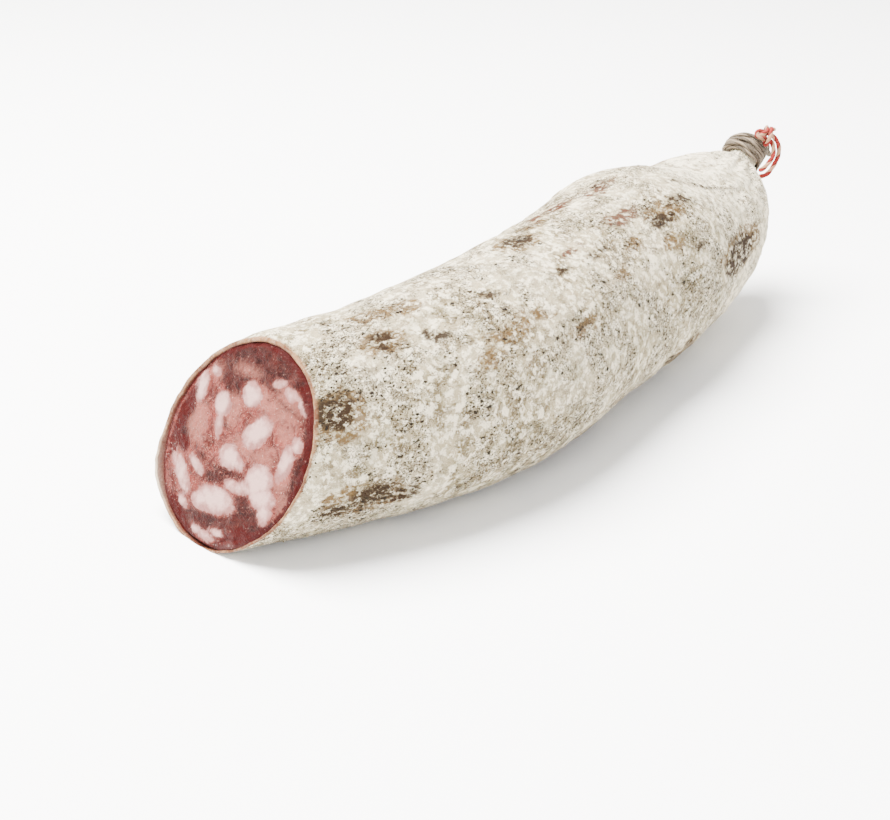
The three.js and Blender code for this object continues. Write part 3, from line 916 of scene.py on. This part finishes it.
class SAUSAGE_OT_stage(bpy.types.Operator):
    """Add the camera, the soft lights and the pale floor"""

    bl_idname = "sausage.stage"
    bl_label = "Stage"

    def execute(self, context):
        settings = context.scene.sausage_stage
        data = bpy.data.cameras.new("camera")
        data.sensor_width = SENSOR_WIDTH
        data.lens = CAMERA_LENS
        data.clip_start = 0.01
        camera = linked("camera", data)
        right = unit(np.cross(CAMERA_AHEAD, [0.0, 0.0, 1.0]))
        up = np.cross(right, CAMERA_AHEAD)
        turned = Matrix(np.stack([right, up, -CAMERA_AHEAD], axis=1).tolist()).to_4x4()
        turned.translation = Vector(((CAMERA_PLACE + ORIGIN_SHIFT) * MM).tolist())
        camera.matrix_world = turned
        context.scene.camera = camera

        turn = round_the_circle(FLOOR_AROUND)
        radii = FLOOR_REACH * np.linspace(0.02, 1, FLOOR_RINGS) ** 2
        points = np.stack([np.outer(radii, np.cos(turn)), np.outer(radii, np.sin(turn)),
                           np.zeros((FLOOR_RINGS, FLOOR_AROUND))], -1)
        middle = FLOOR_RINGS * FLOOR_AROUND
        faces = grid_faces(FLOOR_RINGS, FLOOR_AROUND)
        faces += [[middle, a, (a + 1) % FLOOR_AROUND] for a in range(FLOOR_AROUND)]
        mesh = bpy.data.meshes.new("floor")
        mesh.from_pydata([*points.reshape(-1, 3).tolist(), [0.0, 0.0, 0.0]], [], faces)
        mesh.materials.append(floor_material())
        if mesh.polygons[0].normal.z < 0:
            mesh.flip_normals()
        floor = linked("floor", mesh)

        add_area_light("key_light", (-0.14, 0.28, 0.86), 0.75, settings.key_power, (1.0, 0.985, 0.96))
        add_area_light("fill_light", (-0.7, -0.55, 0.45), 0.9, settings.fill_power, (0.97, 0.985, 1.0))
        world = bpy.data.worlds.new("surround")
        world.use_nodes = True
        light = {"Color": (1.0, 1.0, 1.0), "Strength": settings.surround}
        fill_in(world.node_tree, world.node_tree.nodes["Background"], light)
        context.scene.world = world
        return {"FINISHED"}


# ---------------- twines


def twine_piece(name, route, thickness, plies, lay, seed, material):
    points, faces, groove, ply, uv = twine_skin(route, thickness, plies, lay, seed)
    return piece_from(name, points, faces, material, {"groove": groove, "ply": ply}, uv)


class SAUSAGE_OT_loop(bpy.types.Operator):
    """Add the red and white hanging loop and the knot round its two legs"""

    bl_idname = "sausage.loop"
    bl_label = "Hanging Loop"

    def execute(self, context):
        settings = context.scene.sausage_twine
        red, cream = tuple(settings.red), tuple(settings.cream)
        material = twine_material("red_white_twine", (red, cream), (0.34, 0.085, 0.06), 0.30)
        lay = settings.loop_lay / MM
        route, seed = loop_route(), settings.seed
        knot = twine_piece("loop_knot_twine", knot_route(), KNOT_TWINE, 2, lay, seed + 2, material)
        loop = twine_piece("hanging_loop_twine", route, LOOP_TWINE, 2, lay, seed, material)
        for piece, node in ((knot, "loop_knot"), (loop, "hanging_loop")):
            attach(piece, "root")
            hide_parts(node)
        return {"FINISHED"}


class SAUSAGE_OT_binding(bpy.types.Operator):
    """Add the grey twine wound round the neck"""

    bl_idname = "sausage.binding"
    bl_label = "Neck Binding"

    def execute(self, context):
        settings = context.scene.sausage_twine
        light = tuple(settings.grey)
        grey = tuple(0.35 * part for part in light)
        material = twine_material("grey_twine", (grey, light), (0.31, 0.262, 0.205), 0.3)
        lay, seed = settings.binding_lay / MM, settings.seed + 5
        piece = twine_piece("neck_binding_twine", binding_route(), BINDING_TWINE, 3, lay, seed, material)
        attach(piece, "root")
        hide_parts("neck_binding")
        return {"FINISHED"}


# ---------------- casing

AROUND = 264
BODY_RINGS = 250
SHOULDER_RINGS = 62
NECK_RINGS = 22
RIM_RINGS = 6
INNER_RINGS = 9
LOWEST_SKIN = 0.03

# Patches on the skin: distance along the body (mm), angle round it (degrees), half length and half
# width (mm), turn (degrees)
BROWN_PATCHES = (
    (17.5, 148, 4.2, 4.6, 10), (174, 170, 15, 4.2, -4), (150, 123, 7, 1.7, 12), (138, 127, 6, 2.2, 8),
    (89, 86, 5.5, 3.2, 0), (43, 123, 3.0, 1.6, 20), (32, 116, 3.6, 2.4, -10), (85, 119, 4.5, 1.3, 0),
    (103, 121, 5.0, 1.0, 0), (62, 113, 3.4, 1.1, 15), (170, 117, 16, 0.8, 14), (145, 151, 3.0, 1.5, 0),
    (22, 197, 5.0, 3.2, 0), (14, 205, 4.0, 2.2, 0), (30, 203, 3.0, 2.0, 0), (120, 76, 9.0, 1.5, 12),
)
OLIVE_PATCHES = (
    (60, 136, 6.5, 2.8, 0), (52, 145, 4.0, 2.4, 0), (105, 138, 4.0, 2.0, 0), (120, 128, 4.5, 2.2, 0),
    (136, 141, 5.5, 3.0, 0), (105, 78, 6.0, 3.2, 0), (43, 100, 3.6, 3.2, 0), (35, 97, 7.0, 3.0, 0),
    (88, 86, 8.0, 5.0, 0), (68, 133, 4.0, 1.6, 30), (18, 150, 6.5, 6.5, 0), (176, 168, 19, 6.0, 0),
    (142, 124, 11, 3.6, 8), (80, 150, 5.0, 1.6, 0), (32, 117, 5.5, 4.2, 0), (20, 200, 10, 5.5, 0),
    (60, 30, 16, 6, 0), (110, 10, 12, 7, 0), (150, 40, 14, 5, 0), (90, 235, 20, 6, 0), (140, 215, 12, 6, 0),
    (190, 60, 10, 4, 0), (200, 330, 9, 4, 0), (30, 330, 10, 6, 0), (75, 320, 12, 5, 0),
)
RED_PATCHES = (
    (120, 75, 10, 2.4, 10), (137, 86, 7.0, 2.8, 0), (126, 112, 8.0, 2.6, 5), (94, 112, 4.5, 1.4, 0),
    (112, 72, 5.0, 2.5, 0), (100, 20, 9, 3, 0), (160, 350, 10, 3, 0),
)
# Where the loose skin stands out beside the cut, and where the knife dragged the casing, degrees
FOLD_ANGLE = 330.0
FOLD_SPREAD = 17.0
DRAG_ANGLE = 25.0
PLEATS = 17
FINE_PLEATS = 31
# How much the casing and the meat narrow towards the closed end, and over what length, mm
CLOSING = 0.93
CLOSING_LENGTH = 40.0
MEAT_CLOSING = 0.9
MEAT_CLOSING_LENGTH = 42.0


def wall_thickness(angle, wall):
    """The casing looks thicker on the left of the cut, where the knife dragged it."""
    return wall * (1 + 0.34 * np.cos(angle - math.radians(DRAG_ANGLE)))


def skin_relief(distance, angle, place, behind, settings):
    """How far the skin stands off the smooth body, mm."""
    around = outer_radius(distance) * angle
    broad = settings.lump_height / MM * lattice_noise(place, 19.0, 11)
    small = 0.30 * lattice_noise(place, 7.0, 12) + 0.14 * lattice_noise(place, 2.8, 13)
    wrinkle_at = np.stack([distance / 11.0, around / 2.6, 0 * around + 3.1], -1)
    wrinkles = 0.20 * lattice_noise(wrinkle_at, 1.0, 14) * smooth(distance, -10, 60)
    gathered = smooth(distance, SHOULDER_START - 26, NECK_START)
    wander = 1.3 * lattice_noise(place, 12.0, 15)
    pleats = np.sin(PLEATS * angle + wander * 2.2)
    pleats = pleats + 0.5 * np.sin(FINE_PLEATS * angle - wander * 3 + 1.0)
    slimming = np.clip(outer_radius(distance) / 14.0, 0.28, 1.0)
    folds = settings.pleat_depth / MM * gathered**1.5 * pleats * slimming
    shaping = (
        0.9 * hill(distance, 158, 14) * hill(turn_gap(angle, 80), 0, 42)
        + 0.6 * hill(distance, 208, 12) * hill(turn_gap(angle, 180), 0, 45)
    )
    fold = hill(turn_gap(angle, FOLD_ANGLE), 0, FOLD_SPREAD)
    loose = 1.9 * fold * np.exp(-np.maximum(behind, 0) / 7.0)
    relief = broad + small + wrinkles + folds + shaping + loose
    bound = smooth(distance, NECK_START - 5, NECK_START - 0.5)
    on_neck = np.minimum(0.12 * pleats, 0.16)
    return relief * (1 - bound) + on_neck * bound


def skin_grid(settings):
    """The outside of the casing: distances, angles and places, rings x around."""
    angle = round_the_circle(AROUND) - math.pi / 2
    start = cut_distance(angle, outer_radius)
    to_shoulder = np.linspace(0, 1, BODY_RINGS, endpoint=False)[:, None]
    body = start + (SHOULDER_START - start) * to_shoulder
    over = np.sin(np.linspace(0, math.pi / 2, SHOULDER_RINGS, endpoint=False))[:, None]
    shoulder = SHOULDER_START + SHOULDER_LENGTH * over + 0 * angle
    along_neck = np.linspace(0, 1, NECK_RINGS)[:, None]
    neck = NECK_START + NECK_LENGTH * along_neck + 0 * angle
    distance = np.vstack([body, shoulder, neck])
    angles = np.broadcast_to(angle, distance.shape)
    smooth_place = body_point(distance, angles, outer_radius(distance))
    behind = from_cut(smooth_place)
    relief = skin_relief(distance, angles, smooth_place, behind, settings)
    tip = smooth(distance, NECK_START + NECK_LENGTH - 1.2, NECK_START + NECK_LENGTH)
    radius = (outer_radius(distance) + relief) * (1 - 0.28 * tip)
    place = body_point(distance, angles, radius)
    # the displaced edge goes back onto the cut's plane, then it is torn a little
    rows = np.exp(-np.arange(len(distance)) / 5.0)[:, None]
    torn = 0.16 * lattice_noise(place[0], 1.6, 21)[None, :]
    shift = (from_cut(place)[0][None, :] - torn) * rows
    return distance, angles, place + CUT_FACING * shift[..., None]


class SAUSAGE_OT_casing(bpy.types.Operator):
    """Add the casing: the mouldy outside, the rim at the cut and the inside wall"""

    bl_idname = "sausage.casing"
    bl_label = "Casing"

    def execute(self, context):
        settings = context.scene.sausage_casing
        distance, angles, place = skin_grid(settings)
        edge = place[0]
        inward = unit(CUT_MIDDLE - edge)
        wall = wall_thickness(angles[0], settings.wall / MM)
        wall = wall + 0.12 * lattice_noise(edge, 3.0, 31)
        rings = []
        for k in range(1, RIM_RINGS):
            share = k / (RIM_RINGS - 1)
            proud = 0.14 * math.sin(math.pi * share) - 0.10 * share
            rings.append(edge + inward * (wall * share)[:, None] + CUT_FACING * proud)
        end = NECK_START - 6.0
        start = distance[0] + 2.0
        for k in range(INNER_RINGS):
            share = (k / (INNER_RINGS - 1)) ** 1.5
            at = start + (end - start) * share
            inside = np.maximum(outer_radius(at) - wall - 0.35 * share, 0.3)
            narrowing = 1 - CLOSING * smooth(at, end - CLOSING_LENGTH, end)
            rings.append(body_point(at, angles[0], inside * narrowing))
        every = np.concatenate([np.array(rings)[::-1], place])
        ahead = NECK_FRAME[1]
        points, faces = closed_tube(every, rings[-1].mean(0) + ahead * 0.6, place[-1].mean(0) + ahead * 0.25)
        points[:, 2] = np.maximum(points[:, 2], LOWEST_SKIN)

        inner = np.repeat(np.r_[np.ones(INNER_RINGS), np.linspace(0.8, 0.1, RIM_RINGS - 1)], AROUND)
        a_degree = outer_radius(distance) * np.radians(1.0)

        def over_all(values, for_inner=0.0):
            return np.r_[np.full(len(inner), for_inner), values.ravel(), for_inner, 0.0]

        def field(patches):
            total = np.full(distance.shape, FAR_OUTSIDE)
            for d, a, *oval in patches:
                gap = turn_gap(angles, a) * a_degree
                total = np.maximum(total, patch_field(distance - d, gap, ((0, 0, *oval),)))
            return over_all(total, FAR_OUTSIDE)

        fade = 1 - 0.62 * smooth(distance, 138, 190)
        hidden_side = 1 - 0.25 * hill(turn_gap(angles, 0), 0, 60)
        behind = np.maximum(from_cut(place), 0)
        fold = hill(turn_gap(angles, FOLD_ANGLE - 4), 0, FOLD_SPREAD)
        brown, olive, red = field(BROWN_PATCHES), field(OLIVE_PATCHES), field(RED_PATCHES)
        clean = 1 - smooth(np.maximum(np.maximum(brown, olive), red), -1.5, 0.5)
        attributes = {
            "brown": brown,
            "olive": olive,
            "red": red,
            "busy": over_all(fade * hidden_side),
            "behind_cut": over_all(behind),
            "fold": np.r_[np.tile(fold[0], len(rings)), fold.ravel(), 0, 0],
            "inside": np.r_[inner, np.zeros(distance.size), 1, 0],
            "bloom": clean * over_all(
                smooth(behind, 0.8, 3.0) * smooth(place[..., 2], 0.5, 1.5)
                * (1 - smooth(distance, NECK_START - 3, NECK_START))),
        }
        material = skin_material(tuple(settings.mould_colour))
        piece = piece_from("mouldy_casing", points, faces, material, attributes)
        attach(piece, "root")
        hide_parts("casing")
        return {"FINISHED"}


# ---------------- filling

FACE_RINGS = 180
FACE_AROUND = 360
SIDE_RINGS = 14
CREVICE = 0.10
LOWEST_MEAT = 1.0
# The widest depth that the meat's fields keep, mm
FIELD_LIMIT = 4.0

# On the cut face: mm right of and above its middle, half length, half width, turn in degrees
FAT_LUMPS = (
    (2.2, 14.2, 3.4, 3.0, 0), (-6.9, 9.1, 2.6, 2.9, 0), (-6.3, 3.8, 1.1, 2.3, 10),
    (-16.2, 10.8, 2.3, 3.8, -8), (7.6, 6.4, 5.4, 3.0, 42), (0.2, -2.1, 3.9, 2.7, 0),
    (3.9, -2.6, 1.9, 1.5, 0), (12.2, -4.2, 4.6, 3.9, 30), (14.6, -7.6, 4.4, 2.8, 0),
    (16.6, -10.2, 2.2, 3.1, 15), (9.0, -7.2, 2.6, 1.6, 15), (4.4, -8.4, 3.0, 1.2, 5),
    (-1.0, -13.6, 6.8, 3.2, 6), (-5.6, -15.0, 3.2, 2.4, 20), (-15.2, -11.6, 4.9, 2.1, -50),
    (-12.2, -18.0, 2.0, 1.2, 0), (-10.8, -7.6, 2.8, 1.2, -22), (19.4, 3.0, 2.0, 4.4, -12),
    (21.6, 7.6, 1.9, 1.9, 0), (2.4, -20.9, 2.0, 0.8, 5), (-0.6, -22.9, 2.7, 1.0, 5),
    (-5.2, -22.6, 1.8, 1.1, 0), (7.8, -22.5, 3.2, 1.3, 18), (8.6, -19.5, 1.0, 0.6, 20),
    (12.6, -20.8, 2.0, 0.6, 35), (15.4, 18.0, 2.4, 1.3, -12), (20.0, 16.4, 1.9, 0.9, -20),
    (-19.2, -9.0, 1.0, 2.6, 40), (10.6, 19.6, 1.6, 0.6, 20), (-12.4, 15.8, 1.5, 1.1, 0),
)
PALE_ZONES = (
    (12.6, 12.9, 6.6, 2.4, -4), (6.2, 14.6, 3.0, 2.6, 0), (4.0, 1.6, 4.2, 2.2, 0),
    (19.6, -2.6, 2.2, 2.4, 0), (21.8, -7.6, 1.7, 3.8, 8), (-12.8, 16.0, 2.6, 2.0, 0),
    (10.0, 9.8, 5.0, 2.6, 30), (-1.5, 19.4, 3.6, 1.2, 0), (16.0, 17.0, 5.5, 2.2, -14),
    (-19.8, -7.4, 1.8, 3.0, 30), (-14.0, 2.0, 3.6, 5.0, 0), (-2.5, 9.0, 2.6, 4.0, 0),
    (12.0, 1.8, 4.4, 2.0, 20), (16.5, 9.0, 3.2, 2.4, 0),
)
RED_SEAMS = (
    (-20.4, 1.2, 1.0, 6.2, -10), (-19.0, 6.4, 0.9, 1.7, 30), (-21.2, -4.4, 1.0, 2.2, 0),
    (-17.6, -4.4, 1.4, 1.0, 0), (-13.6, -20.6, 3.0, 1.2, -36), (-8.4, -24.4, 4.4, 0.9, -22),
    (-1.0, -26.0, 5.0, 0.8, 0), (5.6, -22.6, 4.6, 0.7, 44), (11.5, -19.4, 4.5, 0.8, 22),
    (17.6, -16.6, 4.2, 1.3, 38), (22.6, -12.0, 3.2, 1.2, 58), (24.8, -6.4, 0.9, 4.2, -10),
    (26.0, 0.6, 0.8, 4.6, -4), (25.6, 8.0, 0.8, 3.4, 12), (21.6, 17.6, 2.4, 0.7, -45),
    (6.0, 27.2, 5.0, 0.6, -8), (17.0, -18.4, 2.2, 0.6, 30), (23.4, 14.0, 0.6, 2.4, 20),
)
DARK_ZONES = (
    (6, 23, 15, 5.5, -10), (17, 20, 8, 5, -30), (-7, 20, 7, 6, 30), (-4, 16, 5, 4, 0), (25, 4, 3, 12, 0),
    (24, -10, 3, 7, 20), (12, -16, 10, 4.5, 20), (0, -20, 14, 3.6, 4), (-12, -22, 6, 3, -30),
    (-18.5, -3, 2.4, 5, 0), (-17.5, 2, 1.6, 4, 0), (-5, 5, 1.4, 1.4, 0), (1.5, -5.8, 6, 1.0, 5),
    (-9.6, -5.6, 1.4, 0.8, 0), (-4, -8.4, 6, 1.4, 14), (8.5, -11.2, 3, 2.6, 0), (15, 14.9, 6, 0.8, -10),
)


def face_relief(x, y, place, share, settings):
    """Height of the cut face over its plane, mm."""
    fat = patch_field(x, y, FAT_LUMPS)
    lumps = settings.fat_height / MM * smooth(fat, -0.5, 0.9)
    rough = settings.roughness / MM * (
        lattice_noise(place, 3.2, 41) + 0.6 * lattice_noise(place, 1.3, 42)
        + 0.35 * lattice_noise(place, 0.6, 43))
    lean = 1 - 0.7 * smooth(fat, -0.2, 0.6)
    bulge = 0.35 * (1 - share**2) - 0.30 * smooth(share, 0.95, 1.0)
    broad = 0.30 * lattice_noise(place, 11.0, 44)
    return lumps + rough * lean + bulge + broad


class SAUSAGE_OT_filling(bpy.types.Operator):
    """Add the cured meat: the cut face with its fat and lean, and the block inside the casing"""

    bl_idname = "sausage.filling"
    bl_label = "Filling"

    def execute(self, context):
        settings = context.scene.sausage_filling
        casing = context.scene.sausage_casing
        angle = round_the_circle(FACE_AROUND) - math.pi / 2
        wall = wall_thickness(angle, casing.wall / MM) + CREVICE
        start = cut_distance(angle, outer_radius)
        edge_out = body_point(start, angle, outer_radius(start))
        loose = 1.1 * hill(turn_gap(angle, FOLD_ANGLE), 0, 14)
        edge = edge_out + unit(CUT_MIDDLE - edge_out) * (wall - 0.4 * loose)[:, None]
        share = np.linspace(0, 1, FACE_RINGS + 1)[1:, None] ** 0.8
        flat = CUT_MIDDLE + (edge - CUT_MIDDLE)[None] * share[..., None]
        x, y = (flat - CUT_MIDDLE) @ CUT_RIGHT, (flat - CUT_MIDDLE) @ CUT_UP
        height = face_relief(x, y, flat, np.broadcast_to(share, x.shape), settings)
        face = flat + CUT_FACING * height[..., None]
        end = NECK_START - 10.0
        part = (np.arange(1, SIDE_RINGS + 1)[:, None] / SIDE_RINGS) ** 1.4
        at = start + 0.9 + (end - start - 0.9) * part
        narrowing = 1 - MEAT_CLOSING * smooth(at, end - MEAT_CLOSING_LENGTH, end)
        inside = np.maximum(outer_radius(at) - wall - 0.45, 0.5) * narrowing
        side = body_point(at, np.broadcast_to(angle, at.shape), inside)
        centre_height = face_relief(np.zeros(1), np.zeros(1), CUT_MIDDLE[None], np.zeros(1), settings)
        ahead = section(np.array([end]))[1][0]
        centre = CUT_MIDDLE + CUT_FACING * centre_height[0]
        points, faces = closed_tube(np.concatenate([face, side]), centre, side[-1].mean(0) + ahead)
        points[:, 2] = np.maximum(points[:, 2], LOWEST_MEAT)

        at_side = np.ones(SIDE_RINGS * FACE_AROUND)
        deep = np.r_[np.zeros(x.size), at_side, 0, 1]
        rim = np.r_[np.broadcast_to(share, x.shape).ravel(), at_side, 0, 1]
        near_edge = (rim - 1) * 27.0 + 0.75
        all_x, all_y = (points - CUT_MIDDLE) @ CUT_RIGHT, (points - CUT_MIDDLE) @ CUT_UP
        fat, pale, red = (
            np.clip(patch_field(all_x, all_y, patches), -FIELD_LIMIT, FIELD_LIMIT)
            for patches in (FAT_LUMPS, PALE_ZONES, RED_SEAMS))
        attributes = {
            "fat": np.where(deep > 0, -FIELD_LIMIT, fat),
            "pale": np.where(deep > 0, -FIELD_LIMIT, pale),
            "red": np.maximum(red, near_edge - 0.55),
            "dark": np.maximum(smooth(patch_field(all_x, all_y, DARK_ZONES), -1.6, 1.6), deep),
        }
        material = meat_material(tuple(settings.lean_colour), tuple(settings.fat_colour))
        piece = piece_from("cured_meat_block", points, faces, material, attributes)
        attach(piece, "root")
        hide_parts("filling")
        return {"FINISHED"}


# ---------------- scattered details


def scatter_group():
    """Copies of a small object scattered over a surface, by a density and a mask attribute."""
    t, given, result = new_group(
        "Scatter",
        [("Geometry", "Geometry", None), ("Item", "Object", None), ("Density", "Float", 1000.0),
         ("Mask", "String", ""), ("Smallest", "Float", 0.5), ("Largest", "Float", 1.0),
         ("Lean", "Float", 0.3), ("Seed", "Int", 0), ("Material", "Material", None)],
        [("Geometry", "Geometry")],
        "GeometryNodeTree",
    )
    seed, lean = given["Seed"], given["Lean"]
    mask = t.put("GeometryNodeInputNamedAttribute", {"Name": given["Mask"]}, data_type="FLOAT")
    amount = t.mul(mask.outputs["Attribute"], given["Density"])
    spread = t.put("GeometryNodeDistributePointsOnFaces",
                   {"Mesh": given["Geometry"], "Density": amount, "Seed": seed}).outputs
    item = t.put("GeometryNodeObjectInfo", {"Object": given["Item"]}).outputs["Geometry"]
    other_way = t.mul(lean, -1.0)
    low = t.put("ShaderNodeCombineXYZ", {0: other_way, 1: other_way, 2: 0.0}).outputs[0]
    high = t.put("ShaderNodeCombineXYZ", {0: lean, 1: lean, 2: 2 * math.pi}).outputs[0]
    turn = t.put("FunctionNodeRandomValue", {0: low, 1: high, "Seed": seed}, data_type="FLOAT_VECTOR")
    turned = t.put("FunctionNodeRotateRotation", {0: spread["Rotation"], 1: turn.outputs[0]},
                   rotation_space="LOCAL")
    sizes = {2: given["Smallest"], 3: given["Largest"], 8: seed}
    size = t.put("FunctionNodeRandomValue", sizes, data_type="FLOAT").outputs[1]
    placed = t.put("GeometryNodeInstanceOnPoints", {
        "Points": spread["Points"], "Instance": item, "Rotation": turned.outputs[0], "Scale": size})
    real = t.put("GeometryNodeRealizeInstances", {"Geometry": placed.outputs[0]})
    painted = t.put("GeometryNodeSetMaterial", {"Geometry": real.outputs[0], "Material": given["Material"]})
    fill_in(t.tree, result, {"Geometry": painted.outputs[0]})
    return t.tree


def scattered(name, surface, item, material, mask, density, sizes, lean, seed):
    """A plain mesh piece of copies of an item over a surface, made by the scatter group."""
    group = bpy.data.node_groups.get("Scatter") or scatter_group()
    host = linked(name + "_host", surface.data.copy())
    modifier = host.modifiers.new("scatter", "NODES")
    modifier.node_group = group
    values = {"Item": item, "Density": density, "Mask": mask, "Smallest": sizes[0], "Largest": sizes[1],
              "Lean": lean, "Seed": seed, "Material": material}
    for socket in group.interface.items_tree:
        if socket.item_type == "SOCKET" and socket.in_out == "INPUT" and socket.name in values:
            modifier[socket.identifier] = values[socket.name]
    bpy.context.view_layer.update()
    shown = host.evaluated_get(bpy.context.evaluated_depsgraph_get())
    mesh = bpy.data.meshes.new_from_object(shown)
    host.modifiers.remove(modifier)
    bpy.data.objects.remove(host)
    if len(mesh.polygons) == 0:
        raise RuntimeError(f"{name}: nothing was scattered")
    mesh.name = name
    mesh.shade_smooth()
    mesh.materials.clear()
    mesh.materials.append(material)
    return linked(name, mesh)


def small_item(name, points, faces):
    """A small object in mm at the origin, to be scattered."""
    mesh = bpy.data.meshes.new(name)
    mesh.from_pydata((np.asarray(points) * MM).tolist(), [], faces)
    face_outward(mesh)
    return linked(name, mesh)


class SAUSAGE_OT_bloom(bpy.types.Operator):
    """Scatter crumbs of dry mould over the casing"""

    bl_idname = "sausage.bloom"
    bl_label = "Mould Bloom"

    def execute(self, context):
        settings = context.scene.sausage_casing
        turn = round_the_circle(6)
        radius = 0.20 * (1 + 0.35 * np.sin(turn * 2.0 + 0.7))
        rings = np.stack([
            np.stack([size * radius * np.cos(turn + twist), size * radius * np.sin(turn + twist),
                      0 * turn + height], -1)
            for size, twist, height in ((1.0, 0.0, -0.03), (0.6, 0.3, 0.07))])
        points, faces = closed_tube(rings, np.array([0, 0, -0.04]), np.array([0.02, 0, 0.10]))
        crumb = small_item("crumb", points, faces)
        casing = bpy.data.objects["mouldy_casing"]
        piece = scattered(
            "bloom_crumbs", casing, crumb, powder_material(), "bloom", settings.crumbs, (0.5, 1.5), 0.5,
            settings.seed)
        bpy.data.objects.remove(crumb)
        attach(piece, "root")
        return {"FINISHED"}


class SAUSAGE_OT_fibres(bpy.types.Operator):
    """Scatter short stray fibres over the twines"""

    bl_idname = "sausage.fibres"
    bl_label = "Twine Fibres"

    def execute(self, context):
        settings = context.scene.sausage_twine
        steps = np.linspace(0, 1, 7)
        centre = np.stack([0.55 * steps**2, 0.15 * np.sin(3 * steps), 0.9 * steps - 0.05], -1)
        turn = round_the_circle(3)
        ring = np.stack([np.cos(turn), np.sin(turn), 0 * turn], -1)
        rings = centre[:, None] + ring[None] * (0.028 * (1 - 0.7 * steps))[:, None, None]
        points, faces = closed_tube(rings, centre[0] - [0, 0, 0.02], centre[-1] + [0.01, 0, 0.02])
        fibre = small_item("fibre", points, faces)
        for name, host, material in (
            ("binding_fibres", "neck_binding_twine", "grey_twine"),
            ("loop_fibres", "hanging_loop_twine", "red_white_twine"),
            ("knot_fibres", "loop_knot_twine", "red_white_twine"),
        ):
            piece = scattered(
                name, bpy.data.objects[host], fibre, bpy.data.materials[material], "groove", settings.fibres,
                (0.35, 1.0), 0.9, settings.seed)
            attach(piece, "root")
        bpy.data.objects.remove(fibre)
        return {"FINISHED"}


# ---------------- panel and registration


class SAUSAGE_PT_panel(bpy.types.Panel):
    bl_label = "Cured Sausage"
    bl_idname = "SAUSAGE_PT_panel"
    bl_space_type = "VIEW_3D"
    bl_region_type = "UI"
    bl_category = "Sausage"

    def draw(self, context):
        for operator in OPERATORS:
            self.layout.operator(operator.bl_idname)
        for scene_key, label, settings in SETTINGS:
            box = self.layout.box()
            box.label(text=label)
            group = getattr(context.scene, scene_key)
            for key in settings.__annotations__:
                box.prop(group, key)


OPERATORS = (
    SAUSAGE_OT_stage, SAUSAGE_OT_loop, SAUSAGE_OT_binding, SAUSAGE_OT_filling, SAUSAGE_OT_casing,
    SAUSAGE_OT_bloom, SAUSAGE_OT_fibres,
)
SETTINGS = (
    ("sausage_stage", "Stage", SausageStageSettings),
    ("sausage_twine", "Twine", SausageTwineSettings),
    ("sausage_casing", "Casing", SausageCasingSettings),
    ("sausage_filling", "Filling", SausageFillingSettings),
)


def register():
    for _, _, settings in SETTINGS:
        bpy.utils.register_class(settings)
    for cls in (*OPERATORS, SAUSAGE_PT_panel):
        bpy.utils.register_class(cls)
    for key, _, settings in SETTINGS:
        setattr(bpy.types.Scene, key, bpy.props.PointerProperty(type=settings))


def unregister():
    for key, _, _ in SETTINGS:
        delattr(bpy.types.Scene, key)
    for cls in (SAUSAGE_PT_panel, *reversed(OPERATORS)):
        bpy.utils.unregister_class(cls)
    for _, _, settings in SETTINGS:
        bpy.utils.unregister_class(settings)


def main():
    register()
    bpy.ops.sausage.stage()
    bpy.ops.sausage.loop()
    bpy.ops.sausage.binding()
    bpy.ops.sausage.filling()
    bpy.ops.sausage.casing()
    bpy.ops.sausage.bloom()
    bpy.ops.sausage.fibres()


if __name__ == "__main__":
    main()
